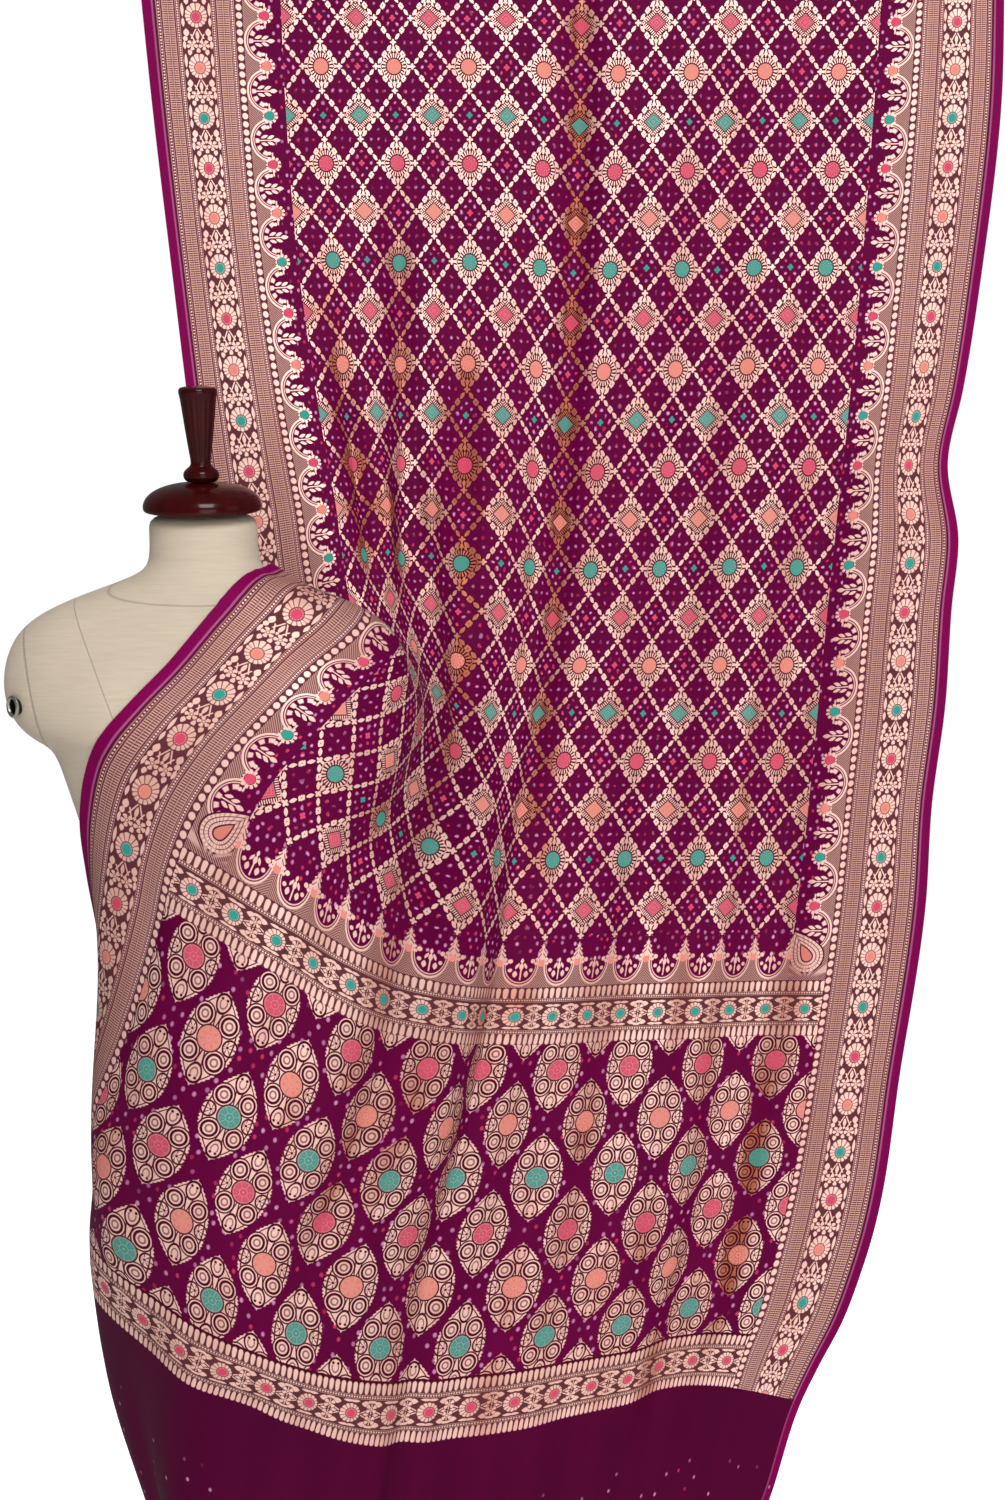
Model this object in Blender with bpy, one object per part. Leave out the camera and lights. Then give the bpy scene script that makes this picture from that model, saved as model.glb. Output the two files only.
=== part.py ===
"""One saree length draped over the shoulder of a dress form.

Frame: metres, +Z up, +X to the right as the cloth is looked at, and the looker on the -Y side.
The origin is the middle of the cloth's top edge, where the cloth is held up.
Cloth positions are given as (row, across): row counts the lattice rows of the weave down the
cloth, and across is the distance in millimetres from the left selvage.
"""
import math

import bmesh
import bpy
from mathutils import Matrix, Vector
from mathutils.bvhtree import BVHTree

MM = 0.001
SEAT = 0.3 * MM                 # gap between pieces that touch

# ---- the cloth ---------------------------------------------------------------------------
CLOTH_WIDTH = 1110.0            # mm, selvage to selvage
ROW_PITCH = 65.0                # mm, one lattice row of the weave
TOP_ROW = -1.2
BOTTOM_ROW = 32.3
CLOTH_THICK = 2.0 * MM
CLEARANCE = 3.5 * MM            # form to the middle of the sheet where it lies on the form
SETTLE_PASSES = 5

# Cells down the cloth: (first row, last row, cells), closer together over the shoulder.
ROW_CELLS = (
    (TOP_ROW, 9.0, 15),
    (9.0, 18.0, 25),
    (18.0, BOTTOM_ROW, 22),
)

# Cells across: (first, last, cells), with first and last in mm.
COLUMN_CELLS = (
    (0.0, 460.0, 20),
    (460.0, CLOTH_WIDTH, 17),
)

# Where the cloth hangs. Each line down the cloth is named by its distance from the left
# selvage, and each entry is (row, x, y, z), with x, y and z in mm.
HANG = {
    0: (                        # left selvage: behind the neck, over the shoulder, round the side
        (TOP_ROW, -560, -28, 0), (2.0, -535, -55, -215), (5.0, -507, -90, -415),
        (8.0, -477, -135, -612), (10.0, -456, -160, -745), (11.8, -434, -178, -858),
        (12.9, -398, -224, -852), (13.9, -352, -316, -797), (15.0, -382, -370, -826),
        (16.0, -415, -400, -864), (17.0, -452, -420, -908), (18.0, -495, -428, -954),
        (19.0, -541, -411, -1012), (20.0, -562, -375, -1080), (21.0, -564, -338, -1145),
        (22.0, -562, -305, -1210), (24.0, -550, -255, -1345), (26.0, -532, -225, -1482),
        (28.0, -512, -210, -1620), (30.0, -488, -215, -1760), (32.3, -445, -225, -1915),
    ),
    163: (                      # inner edge of the left border
        (TOP_ROW, -378, -22, -1), (2.0, -367, -45, -210), (5.0, -349, -80, -402),
        (8.0, -318, -125, -600), (10.0, -294, -165, -720), (11.2, -283, -187, -790),
        (12.3, -270, -205, -848), (13.2, -243, -262, -870), (14.0, -217, -322, -888),
        (16.0, -268, -415, -958), (18.0, -344, -440, -1046), (20.0, -403, -440, -1163),
        (21.1, -424, -440, -1226), (23.1, -477, -430, -1350), (25.2, -535, -375, -1476),
        (26.2, -556, -350, -1545), (27.3, -567, -320, -1614), (27.9, -569, -303, -1650),
        (30.0, -559, -268, -1785), (32.3, -516, -260, -1930),
    ),
    261: (
        (TOP_ROW, -282, -16, -2), (2.0, -274, -35, -206), (5.0, -263, -59, -395),
        (8.0, -249, -98, -594), (10.0, -238, -131, -716), (11.6, -231, -167, -809),
        (12.8, -217, -206, -873), (13.6, -201, -250, -906), (14.6, -191, -312, -945),
        (16.0, -215, -383, -1017), (18.0, -273, -417, -1102), (20.0, -314, -438, -1218),
        (21.1, -336, -447, -1278), (23.1, -384, -456, -1397), (25.2, -441, -436, -1520),
        (26.2, -456, -424, -1584), (27.3, -470, -402, -1654), (27.9, -478, -386, -1686),
        (30.0, -498, -335, -1815), (32.3, -480, -318, -1962),
    ),
    359: (                      # falls just off the end of the covered arm
        (TOP_ROW, -188, -10, -2), (2.0, -181, -25, -203), (5.0, -178, -40, -392),
        (8.0, -180, -70, -590), (10.0, -182, -92, -717), (12.0, -182, -138, -838),
        (13.2, -176, -170, -908), (14.2, -170, -210, -955), (15.0, -176, -258, -1000),
        (16.0, -193, -305, -1054), (18.0, -219, -355, -1154), (21.1, -257, -405, -1338),
        (23.1, -302, -428, -1452), (25.2, -352, -434, -1569), (26.2, -363, -430, -1632),
        (27.3, -377, -415, -1700), (27.9, -388, -402, -1730), (30.0, -418, -372, -1866),
        (32.3, -430, -355, -2014),
    ),
    457: (
        (TOP_ROW, -87, -5, -1), (2.0, -84, -20, -203), (5.0, -86, -36, -396),
        (8.0, -90, -56, -592), (12.0, -95, -88, -846), (14.0, -105, -112, -972),
        (16.0, -119, -165, -1085), (18.0, -142, -235, -1201), (21.1, -179, -310, -1380),
        (23.1, -219, -345, -1500), (25.2, -262, -365, -1620), (26.2, -277, -365, -1684),
        (27.3, -287, -362, -1758), (27.9, -296, -358, -1793), (32.3, -340, -335, -2070),
    ),
    555: (                      # the middle, where the cloth was folded for keeping
        (TOP_ROW, 15, 0, 0), (2.0, 11, -15, -210), (5.0, 3, -30, -402), (8.0, -8, -47, -600),
        (12.0, -24, -73, -852), (16.0, -62, -122, -1094), (18.0, -76, -165, -1218),
        (21.1, -109, -228, -1403), (23.1, -140, -262, -1525), (25.2, -175, -282, -1656),
        (26.2, -187, -287, -1724), (27.3, -199, -291, -1796), (27.9, -207, -292, -1833),
        (32.3, -250, -280, -2110),
    ),
    751: (
        (TOP_ROW, 210, 0, -1), (5.0, 190, -25, -398), (12.0, 152, -60, -850),
        (18.0, 105, -102, -1222), (21.1, 72, -142, -1418), (25.2, 28, -187, -1676),
        (26.2, 11, -196, -1736), (27.3, -4, -206, -1802), (27.9, -12, -212, -1834),
        (32.3, -58, -230, -2116),
    ),
    947: (                      # inner edge of the right border
        (TOP_ROW, 406, 0, -2), (5.0, 377, -20, -396), (12.0, 331, -55, -848),
        (18.0, 289, -90, -1222), (21.1, 258, -120, -1415), (25.2, 207, -155, -1656),
        (26.2, 190, -166, -1716), (27.3, 169, -180, -1776), (27.9, 161, -186, -1806),
        (32.3, 88, -200, -2088),
    ),
    1110: (                     # right selvage, a little wavy
        (TOP_ROW, 563, 0, 0), (2.0, 558, -10, -196), (5.0, 535, -20, -390), (7.5, 508, -33, -555),
        (9.0, 487, -42, -650), (10.6, 500, -50, -750), (12.0, 491, -56, -838),
        (14.0, 482, -65, -965), (16.0, 464, -75, -1092), (18.0, 454, -90, -1219),
        (21.1, 419, -120, -1415), (25.2, 367, -155, -1663), (26.2, 340, -166, -1730),
        (27.3, 305, -178, -1790), (27.9, 286, -184, -1825), (30.0, 243, -195, -1950),
        (32.3, 188, -200, -2086),
    ),
}

# Soft creases, in mm: (first row, last row, across at first, across at last, height, half width).
# Height is towards the looker, so a trough is below zero.
CREASES = (
    (TOP_ROW, 31.0, 555, 555, -13, 20),     # keeping fold down the middle
    (3.0, 12.6, 305, 318, -13, 19),      # gathers that run down to the shoulder
    (6.0, 12.2, 205, 226, -12, 17),
    (6.5, 15.5, 405, 408, -13, 19),
    (7.5, 12.4, 255, 270, 9, 15),
    (8.0, 13.4, 356, 364, 9, 17),
    (14.5, 24.0, 470, 500, 10, 30),      # rolls from the arm down into the middle fold
    (15.0, 27.0, 400, 415, -9, 24),
    (1.0, 22.0, 655, 640, 9, 42),        # slack waves of the free side
    (0.0, 27.0, 745, 722, -9, 40),
    (4.0, 30.0, 842, 826, 9, 40),
    (8.0, 31.0, 925, 905, -10, 36),
    (6.0, 28.0, 1000, 985, 7, 30),
    (20.0, 31.0, 640, 600, -8, 36),
    (19.0, 30.0, 866, 880, -8, 18),
    (26.0, BOTTOM_ROW, 300, 330, 12, 40),      # plain end
    (26.5, BOTTOM_ROW, 440, 470, -11, 34),
    (26.5, BOTTOM_ROW, 700, 720, 10, 34),
    (17.0, 25.0, 300, 285, -6, 34),      # chest
    (18.0, 26.0, 215, 225, 5, 34),
)
CREASE_END = 2.2                # rows over which a crease fades in and out

# ---- the dress form ----------------------------------------------------------------------
FORM_X = -428 * MM              # the form's middle
FORM_SEGMENTS = 28
NECK_TILT = 12.0                # degrees, top of the neck leans towards the looker
NECK_TOP_Z = -738 * MM
ARM_GAP_Z = (-862, -1008)       # mm, top and bottom of the armhole seam
ARM_GAP_X = (203, 172)          # mm from the form's middle at that top and bottom

ARM_FOOT = 1.0 * MM             # the arm stops this far above the seam's lower end

# Level sections of the form, in mm: (z, half width, half depth, y of the middle, neck tilt share).
FORM = (
    (-738, 57, 55, -336, 1.00),
    (-758, 57, 55, -334, 0.75),
    (-786, 62, 58, -329, 0.35),
    (-804, 76, 63, -326, 0.10),
    (-816, 100, 68, -325, 0.0),
    (-829, 132, 74, -325, 0.0),
    (-845, 172, 80, -325, 0.0),
    (-862, 201, 84, -325, 0.0),
    (-882, 219, 89, -325, 0.0),
    (-908, 229, 94, -325, 0.0),
    (-936, 232, 98, -325, 0.0),
    (-964, 226, 101, -325, 0.0),
    (-986, 211, 102, -325, 0.0),
    (-1000, 190, 102, -325, 0.0),
    (-1008, 172, 102, -325, 0.0),
    (-1050, 159, 99, -325, 0.0),
    (-1095, 143, 94, -325, 0.0),
    (-1150, 130, 90, -325, 0.0),
    (-1240, 121, 88, -325, 0.0),
    (-1330, 127, 92, -325, 0.0),
    (-1430, 135, 96, -325, 0.0),
    (-1520, 133, 95, -325, 0.0),
    (-1580, 127, 91, -325, 0.0),
    (-1596, 121, 86, -325, 0.0),
    (-1603, 113, 78, -325, 0.0),
)
SECTION_POWER = 2.25            # 2 is an ellipse, more is squarer
BUST_Z = -985 * MM
BUST_OUT = 78 * MM              # from the form's middle to each side
BUST_HEIGHT = 13 * MM
BUST_RADIUS = 62 * MM

# Turned profiles, in mm: (radius, height above the top of the neck).
CAP_PROFILE = ((0, 0.3), (58, 0.3), (63, 2.5), (66, 7.0), (65, 11.5), (60, 15.0), (48, 18.5),
               (32, 21.5), (17, 23.5), (0, 23.5))
FINIAL_PROFILE = ((0, 23.8), (14, 23.8), (19, 28.0), (20.5, 33.0), (19, 38.5), (13, 43.0),
                  (11.5, 47.0), (13.5, 62.0), (17.0, 88.0), (21.0, 120.0), (22.0, 128.0),
                  (20.5, 132.5), (0, 133.5))
TURNED_SEGMENTS = 28

EYELET_RADIUS = 8.0 * MM        # metal ring round the bolt hole in the bare arm
EYELET_BORE = 4.6 * MM
EYELET_THICK = 2.4 * MM
EYELET_POINT = (-207.3 * MM, -44.3 * MM, -958 * MM)   # x and y from the form's middle, and z
EYELET_FACING = (-0.72, -0.68, -0.08)                 # the way it faces
EYELET_SEGMENTS = 20


def clear_scene():
    """Remove what the scene holds."""
    for old in list(bpy.data.objects):
        bpy.data.objects.remove(old, do_unlink=True)


def finish(name, colour, roughness, metallic=0.0):
    """A plain finish."""
    material = bpy.data.materials.new(name)
    material.use_nodes = True
    shader = material.node_tree.nodes["Principled BSDF"]
    shader.inputs["Base Color"].default_value = (*colour, 1.0)
    shader.inputs["Roughness"].default_value = roughness
    shader.inputs["Metallic"].default_value = metallic
    return material


def object_from(name, work, material):
    """Make an object of a bmesh, and free the bmesh."""
    mesh = bpy.data.meshes.new(name)
    work.to_mesh(mesh)
    work.free()
    mesh.materials.append(material)
    made = bpy.data.objects.new(name, mesh)
    bpy.context.scene.collection.objects.link(made)
    return made


def smooth_value(knots, values, at):
    """Cubic through (knots, values), with the slope at a knot from its neighbours."""
    last = len(knots) - 1
    at = min(max(at, knots[0]), knots[last])
    here = 0
    while here < last - 1 and at > knots[here + 1]:
        here += 1

    def slope(k):
        if k == 0:
            return (values[1] - values[0]) / (knots[1] - knots[0])
        if k == last:
            return (values[last] - values[last - 1]) / (knots[last] - knots[last - 1])
        before = knots[k] - knots[k - 1]
        after = knots[k + 1] - knots[k]
        left = (values[k] - values[k - 1]) / before
        right = (values[k + 1] - values[k]) / after
        return (left * after + right * before) / (before + after)

    span = knots[here + 1] - knots[here]
    t = (at - knots[here]) / span
    a, b = values[here], values[here + 1]
    ta, tb = slope(here) * span, slope(here + 1) * span
    return (a * (2 * t ** 3 - 3 * t ** 2 + 1) + ta * (t ** 3 - 2 * t ** 2 + t)
            + b * (3 * t ** 2 - 2 * t ** 3) + tb * (t ** 3 - t ** 2))


def stations(stretches):
    """Even steps along each stretch, ends included."""
    places = [stretches[0][0]]
    for first, last, cells in stretches:
        for k in range(1, cells + 1):
            places.append(first + (last - first) * k / cells)
    return places


def hang_point(row, across, cache):
    """Where the cloth hangs at (row, across), before its creases."""
    if row not in cache:
        lines = sorted(HANG)
        cache[row] = [
            [smooth_value([e[0] for e in HANG[w]], [e[axis] for e in HANG[w]], row)
             for w in lines] for axis in (1, 2, 3)]
    lines = sorted(HANG)
    return Vector([smooth_value(lines, cache[row][axis], across) * MM for axis in range(3)])


def crease_height(row, across):
    """How far the creases lift the cloth towards the looker at (row, across)."""
    height = 0.0
    for first, last, start, end, rise, half in CREASES:
        if first < row < last:
            middle = start + (end - start) * (row - first) / (last - first)
            fade = min(1.0, (row - first) / CREASE_END, (last - row) / CREASE_END)
            if first <= TOP_ROW:
                fade = min(1.0, (last - row) / CREASE_END)
            if last >= BOTTOM_ROW:
                fade = min(1.0, (row - first) / CREASE_END)
            fade = fade * fade * (3 - 2 * fade)
            height += rise * fade * math.exp(-((across - middle) / half) ** 2)
    return height * MM


def cloth_grid(rows, columns):
    """The points of the sheet's middle, row by row, with their creases."""
    cache = {}
    grid = []
    for row in rows:
        line = []
        for across in columns:
            point = hang_point(row, across, cache)
            near, far = max(across - 6, 0), min(across + 6, CLOTH_WIDTH)
            side = hang_point(row, far, cache) - hang_point(row, near, cache)
            above = hang_point(max(row - 0.1, TOP_ROW), across, cache)
            below = hang_point(min(row + 0.1, BOTTOM_ROW), across, cache)
            out = side.cross(above - below).normalized()
            line.append(point + out * crease_height(row, across))
        grid.append(line)
    return grid


def settle(grid, form, clearance):
    """Lay the sheet on the form: points too near are moved out, and their neighbours eased."""
    high, wide = len(grid), len(grid[0])

    def push(point):
        near, normal, _, gap = form.find_nearest(point)
        inside = (point - near).dot(normal) < -0.5 * gap
        if not inside and gap >= clearance:
            return Vector()
        return near + normal * clearance - point

    for turn in range(SETTLE_PASSES):
        moved = [[push(point) for point in line] for line in grid]
        for r in range(high - 1):
            for c in range(wide - 1):
                corners = ((r, c), (r + 1, c), (r, c + 1), (r + 1, c + 1))
                middle = sum((grid[i][j] for i, j in corners), Vector()) / 4
                need = push(middle)
                for i, j in corners:
                    if need.length > moved[i][j].length:
                        moved[i][j] = need.copy()
        if turn < SETTLE_PASSES - 1:
            eased = [[v.copy() for v in line] for line in moved]
            for _ in range(3):
                for r in range(1, high - 1):
                    for c in range(wide):
                        sides = [eased[r - 1][c], eased[r + 1][c]]
                        if 0 < c < wide - 1:
                            sides += [eased[r][c - 1], eased[r][c + 1]]
                        mean = sum(sides, Vector()) / len(sides)
                        if mean.length > eased[r][c].length:
                            eased[r][c] = mean * 0.85
            moved = eased
        for r in range(high):
            for c in range(wide):
                grid[r][c] += moved[r][c]


def form_section(entry, segments):
    """One level ring of the form."""
    z, wide, deep, middle, tilt_share = entry
    tilt = math.tan(math.radians(NECK_TILT)) * tilt_share
    ring = []
    for k in range(segments):
        angle = 2 * math.pi * k / segments
        c, s = math.cos(angle), math.sin(angle)
        x = wide * MM * math.copysign(abs(c) ** (2 / SECTION_POWER), c)
        y = deep * MM * math.copysign(abs(s) ** (2 / SECTION_POWER), s)
        level = z * MM + y * tilt
        if s < 0:
            for side in (-1, 1):
                far = math.hypot(x - side * BUST_OUT, level - BUST_Z) / BUST_RADIUS
                y -= BUST_HEIGHT * math.exp(-far ** 2 * 2) * abs(s)
        ring.append(Vector((FORM_X + x, middle * MM + y, level)))
    return ring


def whole_form():
    """Closed bmesh of the form with its arms, before the armhole seams part them."""
    work = bmesh.new()
    rings = [[work.verts.new(p) for p in form_section(e, FORM_SEGMENTS)] for e in FORM]
    for upper, lower in zip(rings, rings[1:]):
        for k in range(FORM_SEGMENTS):
            j = (k + 1) % FORM_SEGMENTS
            work.faces.new((upper[k], lower[k], lower[j], upper[j]))
    work.faces.new(rings[0])
    work.faces.new(list(reversed(rings[-1])))
    bmesh.ops.recalc_face_normals(work, faces=work.faces)
    bmesh.ops.triangulate(work, faces=work.faces)
    return work


def armhole(side):
    """A point and the outward normal of the seam plane of one arm, side -1 or 1."""
    top = Vector((FORM_X + side * ARM_GAP_X[0] * MM, 0, ARM_GAP_Z[0] * MM))
    low = Vector((FORM_X + side * ARM_GAP_X[1] * MM, 0, ARM_GAP_Z[1] * MM))
    normal = (top - low).cross(Vector((0, 1, 0))).normalized()
    if normal.x * side < 0:
        normal = -normal
    return low, normal


def keep_below(work, point, normal):
    """Cut away what lies past a plane, and close the cut with a flat face."""
    everything = work.verts[:] + work.edges[:] + work.faces[:]
    cut = bmesh.ops.bisect_plane(work, geom=everything, dist=1e-7, plane_co=point,
                                 plane_no=normal, clear_outer=True)
    edges = [e for e in cut["geom_cut"] if isinstance(e, bmesh.types.BMEdge)]
    bmesh.ops.contextual_create(work, geom=edges)
    bmesh.ops.recalc_face_normals(work, faces=work.faces)


def make_torso(linen):
    """Body and neck, with a flat face at each armhole and under the hips."""
    work = whole_form()
    lowest = ARM_GAP_Z[1] * MM
    for side in (-1, 1):
        point, normal = armhole(side)
        faces = [f for f in work.faces if f.calc_center_median().z > lowest]
        edges = {e for f in faces for e in f.edges}
        verts = {v for f in faces for v in f.verts}
        bmesh.ops.bisect_plane(work, geom=faces + list(edges) + list(verts), dist=1e-7,
                               plane_co=point, plane_no=normal)
        for vert in work.verts:
            past = (vert.co - point).dot(normal)
            if past > 0 and vert.co.z > lowest - SEAT:
                vert.co.x -= past / normal.x
    bmesh.ops.dissolve_degenerate(work, dist=1e-5, edges=work.edges)
    bmesh.ops.recalc_face_normals(work, faces=work.faces)
    return object_from("form_torso", work, linen)


def make_arm(name, side, linen):
    """The short closed arm on one side."""
    work = whole_form()
    point, normal = armhole(side)
    keep_below(work, point + normal * SEAT, -normal)
    keep_below(work, Vector((0, 0, ARM_GAP_Z[1] * MM + ARM_FOOT)), Vector((0, 0, -1)))
    if side < 0:
        centre, facing = eyelet_place()
        keep_below(work, centre, facing)
    return object_from(name, work, linen)


def eyelet_place():
    """The middle and the direction of the flat that the bolt ring lies on."""
    x, y, z = EYELET_POINT
    middle_y = FORM[-1][3] * MM
    return Vector((FORM_X + x, middle_y + y, z)), Vector(EYELET_FACING).normalized()


def make_eyelet(metal):
    """Flat ring round the bolt hole."""
    work = bmesh.new()
    loops = []
    for radius, height in ((EYELET_RADIUS, 0), (EYELET_RADIUS, EYELET_THICK),
                           (EYELET_BORE, EYELET_THICK), (EYELET_BORE, 0)):
        loops.append([work.verts.new((radius * math.cos(a), radius * math.sin(a), height))
                      for a in (2 * math.pi * k / EYELET_SEGMENTS
                                for k in range(EYELET_SEGMENTS))])
    for one, two in zip(loops, loops[1:] + loops[:1]):
        for k in range(EYELET_SEGMENTS):
            j = (k + 1) % EYELET_SEGMENTS
            work.faces.new((one[k], one[j], two[j], two[k]))
    bmesh.ops.recalc_face_normals(work, faces=work.faces)
    centre, facing = eyelet_place()
    turn = facing.to_track_quat("Z", "Y").to_matrix().to_4x4()
    work.transform(Matrix.Translation(centre + facing * SEAT) @ turn)
    return object_from("arm_eyelet", work, metal)


def make_turned(name, profile, material):
    """A turned piece on the neck's leaning axis."""
    work = bmesh.new()
    rings = []
    for radius, height in profile:
        if radius == 0:
            rings.append([work.verts.new((0, 0, height * MM))])
            continue
        rings.append([work.verts.new((radius * MM * math.cos(a), radius * MM * math.sin(a),
                                      height * MM))
                      for a in (2 * math.pi * k / TURNED_SEGMENTS
                                for k in range(TURNED_SEGMENTS))])
    for one, two in zip(rings, rings[1:]):
        for k in range(TURNED_SEGMENTS):
            j = (k + 1) % TURNED_SEGMENTS
            if len(one) == 1:
                work.faces.new((one[0], two[j], two[k]))
            elif len(two) == 1:
                work.faces.new((one[k], one[j], two[0]))
            else:
                work.faces.new((one[k], one[j], two[j], two[k]))
    bmesh.ops.recalc_face_normals(work, faces=work.faces)
    lean = Matrix.Rotation(math.radians(NECK_TILT), 4, "X")
    top = Vector((FORM_X, FORM[0][3] * MM, NECK_TOP_Z))
    work.transform(Matrix.Translation(top) @ lean)
    made = object_from(name, work, material)
    made.data.shade_smooth()
    made.data.set_sharp_from_angle(angle=math.radians(35))
    return made


def make_cloth(silk):
    """The whole cloth, one closed sheet."""
    form = whole_form()
    tree = BVHTree.FromBMesh(form)
    columns = stations(COLUMN_CELLS)
    grid = cloth_grid(stations(ROW_CELLS), columns)
    settle(grid, tree, CLEARANCE)
    form.free()
    work = bmesh.new()
    verts = [[work.verts.new(p) for p in line] for line in grid]
    for upper, lower in zip(verts, verts[1:]):
        for k in range(len(columns) - 1):
            work.faces.new((upper[k], lower[k], lower[k + 1], upper[k + 1]))
    made = object_from("saree_cloth", work, silk)
    thick = made.modifiers.new("sheet", "SOLIDIFY")
    thick.thickness = CLOTH_THICK
    thick.offset = 0.0
    made.data.shade_smooth()
    return made


def main():
    clear_scene()
    linen = finish("linen cover", (0.60, 0.52, 0.38), 0.85)
    wood = finish("dark polished wood", (0.06, 0.004, 0.004), 0.2)
    metal = finish("nickel ring", (0.35, 0.34, 0.33), 0.3, 1.0)
    silk = finish("wine georgette", (0.14, 0.005, 0.065), 0.6)
    make_cloth(silk)
    make_torso(linen)
    make_arm("arm_bare", -1, linen)
    make_arm("arm_covered", 1, linen)
    make_eyelet(metal)
    make_turned("neck_cap", CAP_PROFILE, wood)
    make_turned("finial", FINIAL_PROFILE, wood)


main()
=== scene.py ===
"""The looks of one bandhani saree length draped over the shoulder of a dress form.

Frame: metres, +Z up, +X to the right as the cloth is looked at, and the looker on the -Y side.
A place on the cloth is (row, across): row counts the lattice rows of the weave down the cloth,
and across is the distance in millimetres from the left selvage. The cloth's UV map holds the
same two as metres, so its pattern is drawn at real size and follows every fold.
"""

import math

import bpy
import numpy as np
from bpy.props import FloatProperty, FloatVectorProperty, IntProperty, PointerProperty
from bpy.types import Operator, Panel, PropertyGroup
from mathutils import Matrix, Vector
from mathutils.bvhtree import BVHTree


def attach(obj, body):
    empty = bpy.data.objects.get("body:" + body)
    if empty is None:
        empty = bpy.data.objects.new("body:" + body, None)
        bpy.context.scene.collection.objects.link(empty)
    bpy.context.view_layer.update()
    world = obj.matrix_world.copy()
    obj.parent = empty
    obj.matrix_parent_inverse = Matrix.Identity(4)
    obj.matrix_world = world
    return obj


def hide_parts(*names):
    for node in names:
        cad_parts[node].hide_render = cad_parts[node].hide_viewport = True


bl_info = {
    "name": "Draped bandhani cloth",
    "version": (1, 0, 0),
    "blender": (4, 5, 0),
    "location": "3D View > Sidebar > Drape",
    "description": "Builds a bandhani saree length and the dress form that it falls over",
    "category": "Add Mesh",
}

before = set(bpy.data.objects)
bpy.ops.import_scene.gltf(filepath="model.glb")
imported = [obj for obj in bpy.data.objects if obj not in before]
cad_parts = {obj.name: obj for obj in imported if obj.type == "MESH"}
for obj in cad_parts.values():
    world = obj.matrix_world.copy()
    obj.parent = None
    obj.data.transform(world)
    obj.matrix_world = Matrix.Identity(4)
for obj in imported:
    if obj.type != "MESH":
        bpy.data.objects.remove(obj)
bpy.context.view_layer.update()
MM = 0.001

# ---- where the cloth hangs ---------------------------------------------------------------
CLOTH_WIDTH = 1110.0            # mm, selvage to selvage
ROW_PITCH = 65.0                # mm, one lattice row of the weave
TOP_ROW = -1.2
BOTTOM_ROW = 32.3
CLEARANCE = 3.0 * MM            # dress form to the middle of the sheet where it lies on it
SETTLE_PASSES = 5
SETTLE_ROWS = (9.0, 28.5)       # the stretch that can lie on the form, and how far across
SETTLE_ACROSS = 640.0

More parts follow.
